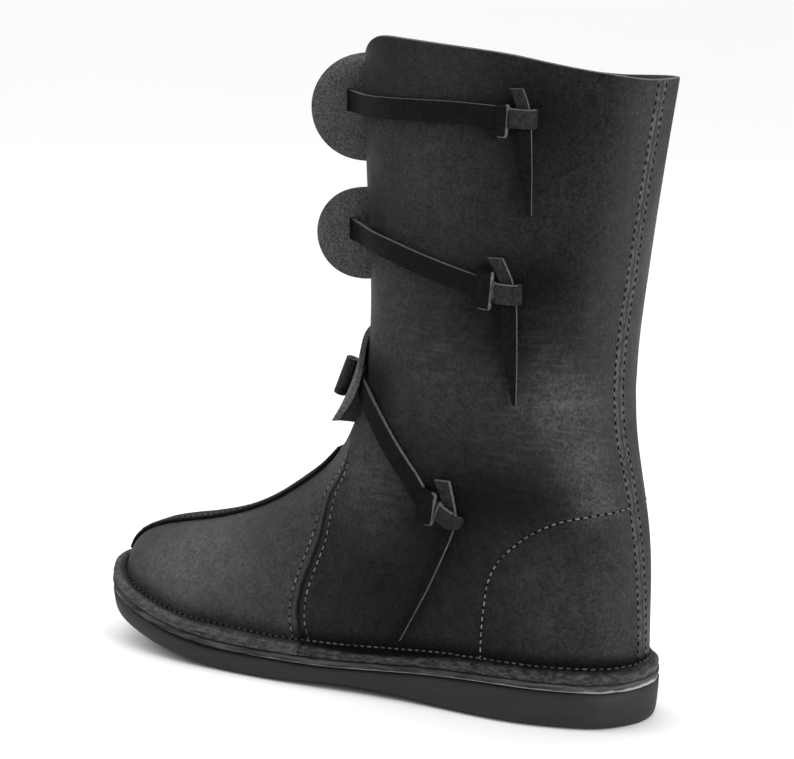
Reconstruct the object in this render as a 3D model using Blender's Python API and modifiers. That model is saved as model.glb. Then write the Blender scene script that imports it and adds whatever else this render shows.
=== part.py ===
"""A left mid-calf leather boot with a wrapped front, three tabs and three knotted thongs.

The boot stands on its sole with +Z up, its toe towards -Y and its outer (lateral) side
towards +X. Lengths in the tables are millimetres, in the maker's own measures:
station runs forward from the back of the heel, side runs outward, height runs up.
"""
import math

import bmesh
import bpy
import numpy as np
from mathutils import Vector

MM = 0.001
GAP = 0.3

# Driving dimensions
SOLE_LENGTH = 311.0
HEEL_RADIUS = 37.0
HEEL_HEIGHT = 17.6
FOREFOOT_HEIGHT = 10.9
TOE_SPRING = 20.0
ARCH_LIFT = 2.6
MIDSOLE_THICKNESS = 3.8
INSOLE_THICKNESS = 3.0
LEATHER = 2.6
STRIP_THICKNESS = 1.8
THONG = 1.9
FLANGE_AT_HEEL = 4.6
FLANGE_AT_TOE = 7.5
FLANGE_ROUND = 3.0

# Stations where the sole's thickness and its underside change
HEEL_BLOCK_END = 55.0
FOREFOOT_START = 170.0
ARCH_START = 82.0
ARCH_END = 192.0
SPRING_START = 212.0
SPRING_POWER = 1.7

# The sole's outline, round from the back of the heel: place, station, side
HEEL_CORNER = HEEL_RADIUS * math.sin(math.pi / 4)
OUTLINE = (
    ("heel back", 0.0, 0.0),
    ("heel corner", HEEL_RADIUS - HEEL_CORNER, HEEL_CORNER),
    ("heel side", HEEL_RADIUS, HEEL_RADIUS),
    ("waist", 112.0, 40.0),
    ("ball", 205.0, 46.5),
    ("small toe", 258.0, 43.0),
    ("toe corner", 293.5, 28.0),
    ("toe tip", SOLE_LENGTH, -8.0),
    ("big toe corner", 297.0, -36.0),
    ("big toe", 266.0, -47.5),
    ("inner ball", 218.0, -51.0),
    ("inner waist", 115.0, -35.0),
    ("inner heel side", HEEL_RADIUS, -HEEL_RADIUS),
    ("inner heel corner", HEEL_RADIUS - HEEL_CORNER, -HEEL_CORNER),
)

# The upper's front line, from the toe up the instep and the shaft: station, height
FRONT_LINE = (
    (303.0, 39.5),
    (302.0, 45.0),
    (296.5, 50.6),
    (283.0, 56.8),
    (268.0, 60.8),
    (248.0, 65.0),
    (230.0, 70.5),
    (211.0, 79.0),
    (190.0, 93.0),
    (173.0, 105.5),
    (161.0, 119.0),
    (151.0, 140.0),
    (146.0, 168.0),
    (144.5, 200.0),
    (146.0, 250.0),
    (146.0, 313.0),
)

# The upper's back line, from the heel up to the collar: station, height
BACK_LINE = (
    (4.6, 27.6),
    (4.6, 50.0),
    (6.6, 80.0),
    (11.0, 110.0),
    (16.0, 140.0),
    (16.0, 168.0),
    (12.0, 205.0),
    (6.0, 250.0),
    (-1.2, 295.0),
)

# Half the width of the leg across its middle: height, half width
LEG_WIDTH = (
    (25.0, 32.0),
    (70.0, 35.0),
    (110.0, 41.0),
    (140.0, 44.5),
    (168.0, 46.5),
    (205.0, 49.5),
    (250.0, 53.0),
    (313.0, 56.5),
)
LEG_ROUNDNESS = 2.3
VAMP_ROUNDNESS = 2.2
TOE_FLATNESS = 2.4
INSTEP_PEAK = 1.65
PEAK_STATIONS = (195.0, 262.0)
LEG_FROM = 58.0
LEG_TO = 128.0
LEG_STATIONS = (150.0, 188.0)

# How finely the slabs are divided, and the shape of their edges
OUTSOLE_STATIONS = 34
MIDSOLE_STATIONS = 30
INSOLE_STATIONS = 28
TREAD_INSET = 2.6
TREAD_SHARE = 0.42
TREAD_ROUND = 1.4
EDGE_TAPER = 0.2
SOCK_CLEAR = 1.2

# How finely the wall is divided, and how its rings climb
RINGS = 26
RING_EASE = 1.15
BACK_EASE = 1.3
FOOT_BEND = 3.0
COLUMNS = 21
FLANGE_STEPS = ((0.12, 0.42), (0.45, 0.10), (1.0, 0.0))
DENSE = 400
CURVE_STEPS = 24
SLOPE_STEP = 0.5
COURSE_STEP = 0.01

# The wrapped front
SLIT_FOOT = 124.0
FLAP_LIFT = 3.3
FLAP_RAMP = (1.0, 1.0, 1.0, 1.0, 0.45)
UNDERLAP = 2

# The collar's edge on the outer and the inner side: station, lateral height, medial height
COLLAR = (
    (-1.2, 294.5, 294.5),
    (7.0, 297.5, 294.0),
    (31.0, 303.0, 293.0),
    (48.0, 306.7, 292.4),
    (72.0, 309.3, 293.8),
    (98.0, 311.6, 298.0),
    (118.0, 313.0, 301.8),
    (126.0, 311.2, 303.0),
    (133.0, 307.0, 304.0),
    (140.0, 302.0, 304.6),
    (146.0, 300.0, 303.4),
)
COLLAR_FROM = 0.62

# The strip along the vamp: station, half its width
STRIP_HALF = (
    (150.0, 11.0),
    (190.0, 9.5),
    (230.0, 8.0),
    (303.0, 8.0),
)
STRIP_TOP = 114.0
STRIP_TOE = 0.15
STRIP_COLUMNS = (-1.0, -0.5, 0.0, 0.5, 1.0)
STRIP_OUTWARD = (0.0, 0.3, 1.0)
HALVINGS = 30

# The tabs on the flap's edge: name, height of the middle, radius, straight root, height of the strap
TABS = (
    ("top", 277.0, 25.5, 6.8, 280.3),
    ("middle", 217.4, 21.8, 9.2, 219.6),
    ("bottom", 149.5, 24.4, 6.0, 149.0),
)
STANDING_OUTWARD = (-0.5, 1.0, 0.0)
WRAPPED_OUTWARD = (0.3, 1.0, 0.0)
TAB_START = 0.9
TAB_TURN = math.radians(60.4)
TAB_BEND = 6.0
TAB_ROWS = 11
TAB_COLUMNS = 7
SLIT_REACH = 13.0
SLIT_EASE = 0.45
SLIT_CUT = 10.8
# How far the bottom tab stands off the shaft, once it is clear of its root: height, distance
FLARE = (
    (125.0, 12.0),
    (150.0, 6.2),
    (160.0, 4.4),
    (173.0, FLAP_LIFT),
)
FLARE_REACH = 14.0
WRAP_RATE = 0.9

TOGGLE_RADIUS = 3.6
TOGGLE_BORE = 1.1
TOGGLE_LENGTH = 19.0
TOGGLE_CHAMFER = 0.8
TOGGLE_STEPS = 14
TOGGLE_CLEAR = 1.1
TOGGLE_REST = 5.0
MERGE = 0.01

# The straps' middle lines on the outer side, from the knot forward: station, height
STRAPS = {
    "top": ((54.7, 279.6), (72.6, 280.6), (99.8, 280.7), (137.0, 280.3)),
    "middle": ((67.9, 204.7), (96.0, 212.1), (114.0, 216.6), (136.0, 219.4)),
    "bottom": ((104.8, 108.5), (117.0, 124.5), (129.0, 138.5), (137.5, 145.5), (144.3, 148.0)),
}
STRAP_WIDTH = 9.8
STRAP_ROWS = 12
ON_LEATHER = 0.7
LEAVING_TRIES = 101
STRAP_OUTWARD = (1.0, 0.5, 0.0)
KNOT_OUTWARD = (1.0, 0.0, 0.0)
ACROSS = (-0.5, 0.0, 0.5)

# The knots' wraps on the outer side: station and height of the middle, width, tallness
LOOPS = {
    "top": (51.0, 278.2, 5.8, 15.0),
    "middle": (62.2, 203.0, 8.4, 18.0),
    "bottom": (98.7, 97.8, 10.6, 18.5),
}
BANDS = {
    "top": (41.6, 279.3, 11.6, 8.6),
    "middle": (51.2, 201.7, 12.4, 9.4),
    "bottom": (85.8, 93.6, 13.4, 9.6),
}
LOOP_THICKNESS = 3.6
LOOP_LEVELS = (-0.5, -0.17, 0.17, 0.5)
LOOP_ROUND = 0.9
LOOP_SHARP = math.radians(50)
BAND_RISE = 2.9
BAND_POWER = 6
BAND_COLUMNS = 9

# The knots' free ends, downward: station, height, width
TAILS = {
    "top": ((44.6, 292.0, 5.8), (41.9, 285.0, 5.2), (41.6, 279.3, 5.2), (41.6, 273.6, 5.6),
            (41.8, 255.0, 5.0), (41.0, 236.4, 1.4)),
    "middle": ((56.6, 217.3, 7.0), (51.9, 207.6, 5.8), (51.2, 201.7, 5.6), (51.4, 195.8, 7.0),
               (51.8, 172.0, 6.0), (50.7, 150.7, 1.6)),
    "bottom": ((88.4, 111.5, 7.8), (86.2, 99.8, 6.0), (85.8, 93.6, 5.6), (87.2, 87.0, 5.0),
               (101.5, 56.0, 3.4), (116.5, 29.0, 3.0)),
}
TAIL_STEP = 9.0

# Where the middle of the boot's box lies
SIDE_MID = 1.25
STATION_MID = 154.9

# Colour and roughness of each kind of piece
COLOURS = {
    "outsole": ((0.030, 0.030, 0.031), 0.60),
    "midsole": ((0.060, 0.058, 0.056), 0.75),
    "insole": ((0.070, 0.066, 0.062), 0.85),
    "upper": ((0.028, 0.028, 0.029), 0.55),
    "vamp": ((0.020, 0.020, 0.021), 0.55),
    "tab": ((0.060, 0.058, 0.056), 0.90),
    "toggle": ((0.030, 0.030, 0.030), 0.65),
    "strap": ((0.014, 0.014, 0.015), 0.60),
    "loop": ((0.016, 0.016, 0.017), 0.60),
    "band": ((0.016, 0.016, 0.017), 0.60),
    "tail": ((0.015, 0.015, 0.016), 0.60),
}


def world(station, side, height):
    """A place in the maker's measures as a point in metres."""
    return ((side - SIDE_MID) * MM, (STATION_MID - station) * MM, height * MM)


def smooth_path(points, count, closed=False):
    """Points spread evenly along a smooth curve through the given ones."""
    given = np.array(points, float)
    if closed:
        padded = np.vstack([given[-1], given, given[:2]])
    else:
        padded = np.vstack([2 * given[0] - given[1], given, 2 * given[-1] - given[-2]])
    chord = np.linalg.norm(np.diff(padded, axis=0), axis=1)[:, None]
    slope = np.diff(padded, axis=0) / chord
    tangent = (slope[:-1] * chord[1:] + slope[1:] * chord[:-1]) / (chord[:-1] + chord[1:])
    t = np.linspace(0, 1, CURVE_STEPS, endpoint=False)[:, None]
    fine = []
    for i in range(len(padded) - 3):
        a, b, run = padded[i + 1], padded[i + 2], chord[i + 1]
        fine.append(a * (2 * t**3 - 3 * t**2 + 1) + b * (3 * t**2 - 2 * t**3)
                    + run * (tangent[i] * (t**3 - 2 * t**2 + t) + tangent[i + 1] * (t**3 - t**2)))
    fine = np.vstack(fine + [padded[-2][None]])
    run = np.concatenate([[0], np.cumsum(np.linalg.norm(np.diff(fine, axis=0), axis=1))])
    places = np.linspace(0, run[-1], count, endpoint=not closed)
    return np.column_stack([np.interp(places, run, fine[:, k]) for k in range(fine.shape[1])])


def ramp(value, start, end):
    """Smooth step from 0 at start to 1 at end."""
    t = np.clip((value - start) / (end - start), 0, 1)
    return t * t * (3 - 2 * t)


# The sole's heights
def underside(station):
    """Height of the sole's lowest line: flat heel and forefoot, lifted arch, sprung toe."""
    reach = np.clip((station - SPRING_START) / (SOLE_LENGTH - SPRING_START), 0, None)
    arch = np.sin(np.pi * np.clip((station - ARCH_START) / (ARCH_END - ARCH_START), 0, 1)) ** 2
    return TOE_SPRING * reach**SPRING_POWER + ARCH_LIFT * arch


def outsole_top(station):
    reach = np.clip((station - SPRING_START) / (SOLE_LENGTH - SPRING_START), 0, None)
    block = 1 - ramp(station, HEEL_BLOCK_END, FOREFOOT_START)
    return (TOE_SPRING * reach**SPRING_POWER + FOREFOOT_HEIGHT
            + (HEEL_HEIGHT - FOREFOOT_HEIGHT) * block)


def midsole_low(station):
    return outsole_top(station) + GAP


def midsole_top(station):
    return midsole_low(station) + MIDSOLE_THICKNESS


def flange_top(station):
    return midsole_top(station) + GAP + LEATHER


# The sole's outline
def flange_width(station):
    return np.interp(station, (0, SOLE_LENGTH), (FLANGE_AT_HEEL, FLANGE_AT_TOE))


CLOSED_OUTLINE = smooth_path([row[1:] for row in OUTLINE], DENSE, closed=True)


def inset_outline(distance):
    """The closed outline moved inward; distance may vary with the station."""
    tangent = np.roll(CLOSED_OUTLINE, -1, axis=0) - np.roll(CLOSED_OUTLINE, 1, axis=0)
    tangent /= np.linalg.norm(tangent, axis=1)[:, None]
    inward = np.column_stack([tangent[:, 1], -tangent[:, 0]])
    if callable(distance):
        distance = distance(CLOSED_OUTLINE[:, 0])[:, None]
    return CLOSED_OUTLINE + inward * distance


def two_sides(outline):
    """Lateral and medial halves of a closed outline, each from the heel to the toe."""
    back, front = outline[:, 0].argmin(), outline[:, 0].argmax()
    turned = np.roll(outline, -back, axis=0)
    tip = (front - back) % len(outline)
    lateral = turned[:tip + 1]
    medial = np.vstack([turned[tip:], turned[:1]])[::-1]
    return lateral, medial


LAST_LATERAL, LAST_MEDIAL = two_sides(inset_outline(flange_width))


def last_side(station, lateral):
    """Side of the last's bottom edge at a station."""
    half = LAST_LATERAL if lateral else LAST_MEDIAL
    return np.interp(station, half[:, 0], half[:, 1])


# The upper's surface
FRONT = smooth_path(FRONT_LINE, DENSE)
BACK = smooth_path(BACK_LINE, DENSE)
LEG = smooth_path(LEG_WIDTH, DENSE)
INSTEP_END = FRONT[:, 0].argmin()
VAMP = FRONT[FRONT[:, 0].argmax():INSTEP_END + 1][::-1]


def along(path, fraction):
    """The point at a fraction of an evenly divided path."""
    place = np.clip(fraction, 0, 1) * (len(path) - 1)
    return np.array([np.interp(place, np.arange(len(path)), path[:, k]) for k in range(2)])


def arch_of(fraction, power):
    """Height of a rounded arch: 1 in the middle, 0 at the ends."""
    return max(0.0, 1 - min(abs(fraction), 1.0) ** power) ** (1 / power)


def half_section(station, height):
    """Middle and half width of the upper's outer face at a point of its side view."""
    lateral, medial = last_side(station, True), last_side(station, False)
    low = flange_top(station)
    crown = np.interp(station, VAMP[:, 0], VAMP[:, 1], left=FRONT_LINE[-1][1])
    peak = INSTEP_PEAK + (TOE_FLATNESS - INSTEP_PEAK) * ramp(station, *PEAK_STATIONS)
    rise = min(1.0, max(0, height - low) / (crown - low))
    foot = (lateral - medial) / 2 * (1 - rise**VAMP_ROUNDNESS) ** (1 / peak)
    back = np.interp(height, BACK[:, 1], BACK[:, 0])
    front = np.interp(height, FRONT[:, 1], FRONT[:, 0])
    offset = (station - (front + back) / 2) / ((front - back) / 2)
    leg = np.interp(height, LEG[:, 0], LEG[:, 1]) * arch_of(offset, LEG_ROUNDNESS)
    share = ramp(height, LEG_FROM, LEG_TO) * (1 - ramp(station, *LEG_STATIONS))
    return (lateral + medial) / 2 * (1 - share), foot * (1 - share) + leg * share


def side_view(climb, run):
    """Station and height of a wall point: climb 0 at the sole to 1 at the collar,
    run 0 at the back to 1 at the front."""
    back, front = along(BACK, climb**BACK_EASE), along(FRONT, climb)
    sole_share = 1 - climb
    rise_back = back[1] - flange_top(back[0]) * sole_share
    rise_front = front[1] - flange_top(front[0]) * sole_share
    station = back[0] + (front[0] - back[0]) * run
    bend = 1 + (FOOT_BEND - 1) * sole_share**2
    return station, flange_top(station) * sole_share + rise_back + (rise_front - rise_back) * run**bend


def wall_point(climb, run, lateral):
    """A point of the upper's outer face as side, station and height."""
    station, height = side_view(climb, run)
    middle, half = half_section(station, height)
    if run in (0.0, 1.0):
        half = 0.0
    return np.array([middle + (half if lateral else -half), station, height])


def ring_point(climb, run, lateral):
    """A wall point with the rings near the top drawn to the collar's edge."""
    point = wall_point(climb, run, lateral)
    collar = np.array(COLLAR)
    station, level = side_view(1.0, run)
    edge = np.interp(station, collar[:, 0], collar[:, 1 if lateral else 2])
    point[2] += ramp(climb, COLLAR_FROM, 1) * (edge - level)
    if climb > COLLAR_FROM and 0 < run < 1:
        middle, half = half_section(*point[1:])
        point[0] = middle + (half if lateral else -half)
    return point


def make_mesh(name, points, faces):
    mesh = bpy.data.meshes.new(name)
    mesh.from_pydata([world(p[1], p[0], p[2]) for p in points], [], faces)
    mesh.validate()
    return mesh


def make_part(name, mesh):
    """Add a mesh to the boot with its own material, faces out and shaded smooth."""
    part = bpy.data.objects.new(name, mesh)
    BOOT.objects.link(part)
    colour, roughness = COLOURS[name.split("_")[0]]
    material = bpy.data.materials.new(name)
    material.use_nodes = True
    shader = material.node_tree.nodes["Principled BSDF"]
    shader.inputs["Base Color"].default_value = (*colour, 1)
    shader.inputs["Roughness"].default_value = roughness
    mesh.materials.append(material)
    mesh.shade_smooth()
    return part


def face_out(mesh):
    shape = bmesh.new()
    shape.from_mesh(mesh)
    bmesh.ops.recalc_face_normals(shape, faces=shape.faces)
    shape.to_mesh(mesh)
    shape.free()


def thicken(part, thickness, offset):
    """Give an open sheet its thickness: offset -1 keeps it as the outer face, 1 as the inner."""
    shell = part.modifiers.new("Thickness", "SOLIDIFY")
    shell.thickness = thickness * MM
    shell.offset = offset
    shell.use_even_offset = True
    shell.use_quality_normals = True


# Slabs of the sole
def along_many(path, count):
    """Points spread evenly along a dense path."""
    run = np.concatenate([[0], np.cumsum(np.linalg.norm(np.diff(path, axis=0), axis=1))])
    places = np.linspace(0, run[-1], count)
    return np.column_stack([np.interp(places, run, path[:, k]) for k in range(2)])


def slab(name, layers, stations):
    """A closed slab from layers of (inset, height function), lowest first."""
    points, faces = [], []
    size = 2 * stations
    for inset, height in layers:
        lateral, medial = two_sides(inset_outline(inset))
        lateral = along_many(lateral, stations + 1)
        medial = along_many(medial, stations + 1)
        ring = np.vstack([lateral, medial[-2:0:-1]])
        points += [(side, station, height(station)) for station, side in ring]
    for k in range(len(layers) - 1):
        for i in range(size):
            j = (i + 1) % size
            faces.append((k * size + i, k * size + j, (k + 1) * size + j, (k + 1) * size + i))
    for base in (0, (len(layers) - 1) * size):
        for i in range(stations):
            cap = (base + i, base + i + 1, base + (size - i - 1) % size, base + (size - i) % size)
            faces.append(tuple(dict.fromkeys(cap)))
    mesh = make_mesh(name, points, faces)
    face_out(mesh)
    return make_part(name, mesh)


def build_sole():
    slab("outsole", ((TREAD_INSET, underside),
                     (TREAD_INSET * TREAD_SHARE, lambda station: underside(station) + TREAD_ROUND),
                     (0.0, outsole_top)), OUTSOLE_STATIONS)
    slab("midsole", ((EDGE_TAPER, midsole_low), (0.0, midsole_top)), MIDSOLE_STATIONS)

    def sock_inset(station):
        return flange_width(station) + LEATHER + SOCK_CLEAR

    slab("insole", ((sock_inset, lambda station: midsole_top(station) + GAP),
                    (sock_inset, lambda station: midsole_top(station) + GAP + INSOLE_THICKNESS)),
         INSOLE_STATIONS)


# The upper
def ring_climbs():
    return (np.arange(RINGS) / (RINGS - 1)) ** RING_EASE


def build_upper():
    climbs = ring_climbs()
    runs = (1 - np.cos(np.pi * np.arange(COLUMNS + 1) / COLUMNS)) / 2
    slit_row = next(j for j, c in enumerate(climbs) if along(FRONT, c)[1] > SLIT_FOOT)
    points, faces, index = [], [], {}

    def add(key, point):
        index[key] = len(points)
        points.append(point)

    # Column keys: 0 at the back, positive round the lateral side, negative round the medial one
    for j, climb in enumerate(climbs):
        for c in range(COLUMNS + 1):
            add((j, c), ring_point(climb, runs[c], True))
        for c in range(1, COLUMNS):
            add((j, -c), ring_point(climb, runs[c], False))
        if j > slit_row:
            add((j, "edge"), ring_point(climb, 1.0, False))
    # Lift the flap over the front and lay the lateral panel on under it
    for j in range(slit_row + 1, RINGS):
        medial = [ring_point(climbs[j], runs[COLUMNS - k], False) for k in range(len(FLAP_RAMP) + 1)]
        lateral = ring_point(climbs[j], runs[COLUMNS - 1], True)
        for k, share in enumerate(FLAP_RAMP):
            key = (j, "edge") if k == 0 else (j, k - COLUMNS)
            before = lateral if k == 0 else medial[k - 1]
            tangent = (before - medial[k + 1])[:2]
            outward = np.array([-tangent[1], tangent[0]]) / np.linalg.norm(tangent)
            points[index[key]][:2] += outward * FLAP_LIFT * share
        front = points[index[(j, COLUMNS)]]
        for k in range(1, UNDERLAP + 1):
            if j > slit_row + 1:
                add((j, "under", k - 1), np.array([*medial[k][:2], front[2]]))

    def quad(*keys):
        faces.append(tuple(dict.fromkeys(index[key] for key in keys)))

    for j in range(RINGS - 1):
        up = j + 1
        for c in range(COLUMNS):
            quad((j, c), (j, c + 1), (up, c + 1), (up, c))
        for c in range(COLUMNS - 1):
            quad((j, -c - 1), (j, -c), (up, -c), (up, -c - 1))
        low = (j, "edge") if j > slit_row else (j, COLUMNS)
        high = (up, "edge") if up > slit_row else (up, COLUMNS)
        quad(low, (j, 1 - COLUMNS), (up, 1 - COLUMNS), high)
        chain = [(COLUMNS,)] + [("under", k) for k in range(UNDERLAP)]
        for a, b in zip(chain, chain[1:]):
            if j > slit_row + 1:
                quad((j, *a), (j, *b), (up, *b), (up, *a))
            elif j == slit_row + 1:
                quad((j, COLUMNS), (up, *b), (up, *a))

    # The bottom edge turns out into the flange that is sewn to the midsole
    keys = list(range(COLUMNS + 1)) + list(range(1 - COLUMNS, 0))
    base = [points[index[(0, c)]].copy() for c in keys]
    count = len(base)
    previous = [index[(0, c)] for c in keys]
    for out, drop in FLANGE_STEPS:
        ring = []
        for i, point in enumerate(base):
            tangent = (base[(i + 1) % count] - base[i - 1])[:2]
            outward = np.array([tangent[1], -tangent[0]]) / np.linalg.norm(tangent)
            width = flange_width(point[1]) - EDGE_TAPER
            moved = point.copy()
            moved[:2] += outward * width * out
            moved[2] = flange_top(moved[1]) + FLANGE_ROUND * drop
            ring.append(len(points))
            points.append(moved)
        for i in range(count):
            k = (i + 1) % count
            faces.append((ring[i], ring[k], previous[k], previous[i]))
        previous = ring

    mesh = make_mesh("upper", points, faces)
    face_out(mesh)
    part = make_part("upper", mesh)
    thicken(part, LEATHER, -1)


# Sheets of leather on and beside the upper
def sheet(name, grid, outward, thickness, offset):
    """An open sheet through a grid of points, its normals along outward, with a thickness."""
    rows, columns = grid.shape[:2]
    faces = []
    for i in range(rows - 1):
        for j in range(columns - 1):
            a = i * columns + j
            faces.append((a, a + 1, a + columns + 1, a + columns))
    mesh = make_mesh(name, grid.reshape(-1, 3), faces)
    normal = np.mean([polygon.normal for polygon in mesh.polygons], axis=0)
    if normal @ np.array([outward[0], -outward[1], outward[2]]) < 0:
        mesh.flip_normals()
    part = make_part(name, mesh)
    thicken(part, thickness, offset)
    return part


def lifted(grid, outward, distance):
    """A grid of points moved along its own normals."""
    normal = np.cross(np.gradient(grid, axis=0), np.gradient(grid, axis=1))
    normal /= np.linalg.norm(normal, axis=2)[:, :, None]
    if normal.mean(axis=(0, 1)) @ np.array(outward) < 0:
        normal = -normal
    return grid + normal * distance


def on_wall(station, height, lift):
    """A point over the upper's outer side, lifted along the surface's normal."""
    middle, half = half_section(station, height)
    step = SLOPE_STEP
    along_foot = sum(half_section(station + step, height)) - sum(half_section(station - step, height))
    up_leg = sum(half_section(station, height + step)) - sum(half_section(station, height - step))
    normal = np.array([2 * step, -along_foot, -up_leg])
    return np.array([middle + half, station, height]) + normal / np.linalg.norm(normal) * lift


def front_station(height):
    return np.interp(height, FRONT[:, 1], FRONT[:, 0])


def build_strip():
    """The strip along the top of the vamp, laid on the upper's own rings."""
    climbs = ring_climbs()
    halves = np.array(STRIP_HALF)
    rows = []
    for climb in [climbs[1] * STRIP_TOE, *climbs[1:]]:
        station, height = along(FRONT, climb)
        if height > STRIP_TOP:
            break
        reach = np.interp(station, halves[:, 0], halves[:, 1])
        rows.append([strip_point(climb, reach * share) for share in STRIP_COLUMNS])
    grid = lifted(np.array(rows), STRIP_OUTWARD, ON_LEATHER)
    sheet("vamp_strip", grid, STRIP_OUTWARD, STRIP_THICKNESS, 1)


def strip_point(climb, offset):
    """The wall point of a ring at a distance to one side of the ridge, found by halving."""
    low, high = 0.5, 1.0
    for _ in range(HALVINGS):
        run = (low + high) / 2
        if half_section(*side_view(climb, run))[1] > abs(offset):
            low = run
        else:
            high = run
    return wall_point(climb, high if offset else 1.0, offset > 0)


# The closure
def standing_tab(distance, height):
    """Side and station on the grain face of a tab that stands forward of the flap's edge."""
    heading = TAB_TURN * min(1.0, distance / TAB_BEND)
    radius = TAB_BEND / TAB_TURN
    rest = max(0.0, distance - TAB_BEND)
    side = TAB_START + radius * math.sin(heading) + rest * math.cos(heading)
    forward = radius * (1 - math.cos(heading)) + rest * math.sin(heading)
    return side, front_station(height) + FLAP_LIFT + forward


def wrapped_tab(distance, height):
    """Side and station on the grain face of a tab that lies round the front of the shaft."""
    flare = np.array(FLARE)
    clear = np.interp(height, flare[:, 0], flare[:, 1]) - FLAP_LIFT
    stand_off = FLAP_LIFT + clear * ramp(distance, 0, FLARE_REACH)
    side = TAB_START + WRAP_RATE * distance
    back, front = np.interp(height, BACK[:, 1], BACK[:, 0]), front_station(height)
    half = np.interp(height, LEG[:, 0], LEG[:, 1])
    depth = (front - back) / 2
    bow = arch_of(side / half, LEG_ROUNDNESS)
    normal = np.array([(side / half) ** (LEG_ROUNDNESS - 1) / half, bow ** (LEG_ROUNDNESS - 1) / depth])
    normal /= np.linalg.norm(normal)
    return side + normal[0] * stand_off, (front + back) / 2 + depth * bow + normal[1] * stand_off


def tab_grid(plan, middle, radius, root):
    """Rows across a half round tab, from its root to its rounded edge."""
    rows = []
    for turn in np.linspace(-math.pi / 2, math.pi / 2, TAB_ROWS):
        height = middle + radius * math.sin(turn)
        reach = root + radius * math.cos(turn)
        row = [(*plan(reach * share, height), height) for share in np.linspace(0, 1, TAB_COLUMNS)]
        rows.append(row)
    return np.array(rows)


def strap_edges(place, name):
    """Lower and upper edge of a strap on the outer side, at a fraction of its middle line."""
    line = smooth_path(STRAPS[name], DENSE)
    here = along(line, place)
    ahead = along(line, min(1, place + COURSE_STEP)) - along(line, max(0, place - COURSE_STEP))
    across = np.array([-ahead[1], ahead[0]]) / np.linalg.norm(ahead) * STRAP_WIDTH / 2
    return [on_wall(*(here - across), ON_LEATHER), on_wall(*here, ON_LEATHER),
            on_wall(*(here + across), ON_LEATHER)]


def box_cutter(name, middle, direction, length, thickness, tall):
    """An upright box along a plan direction, kept among the cutters."""
    shape = bmesh.new()
    bmesh.ops.create_cube(shape, size=1.0)
    mesh = bpy.data.meshes.new(name)
    shape.to_mesh(mesh)
    shape.free()
    box = bpy.data.objects.new(name, mesh)
    CUTTERS.objects.link(box)
    box.scale = (length * MM, thickness * MM, tall * MM)
    box.rotation_euler[2] = math.atan2(-direction[1], direction[0])
    box.location = world(middle[1], middle[0], middle[2])
    box.hide_render = True
    box.display_type = "WIRE"
    return box


def cut(part, cutter):
    slot = part.modifiers.new("Slit", "BOOLEAN")
    slot.operation = "DIFFERENCE"
    slot.solver = "EXACT"
    slot.object = cutter


def build_toggle(name, middle, axis):
    """A rolled toggle: a bored profile turned about its axis."""
    half, far = TOGGLE_LENGTH / 2, TOGGLE_RADIUS
    profile = ((TOGGLE_BORE, -half), (far - TOGGLE_CHAMFER, -half), (far, TOGGLE_CHAMFER - half),
               (far, half - TOGGLE_CHAMFER), (far - TOGGLE_CHAMFER, half), (TOGGLE_BORE, half))
    mesh = bpy.data.meshes.new(name)
    edges = [(i, (i + 1) % len(profile)) for i in range(len(profile))]
    mesh.from_pydata([(r * MM, 0, z * MM) for r, z in profile], edges, [])
    part = make_part(name, mesh)
    turn = part.modifiers.new("Turned", "SCREW")
    turn.steps = TOGGLE_STEPS
    turn.render_steps = TOGGLE_STEPS
    turn.use_merge_vertices = True
    turn.merge_threshold = MERGE * MM
    turn.use_normal_calculate = True
    part.location = world(middle[1], middle[0], middle[2])
    part.rotation_euler = Vector((axis[0], -axis[1], axis[2])).to_track_quat("Z", "Y").to_euler()


def leaving_place(name, target):
    """Fraction of a strap's line where it leaves the shaft, straight towards a target."""
    for place in np.linspace(0.5, 1.0, LEAVING_TRIES):
        _, here, _ = strap_edges(place, name)
        _, further, _ = strap_edges(max(0, place - COURSE_STEP), name)
        course, wanted = (here - further)[:2], (np.array(target) - here[:2])
        if course[0] * wanted[1] - course[1] * wanted[0] < 0:
            return place
    return 1.0


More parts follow.
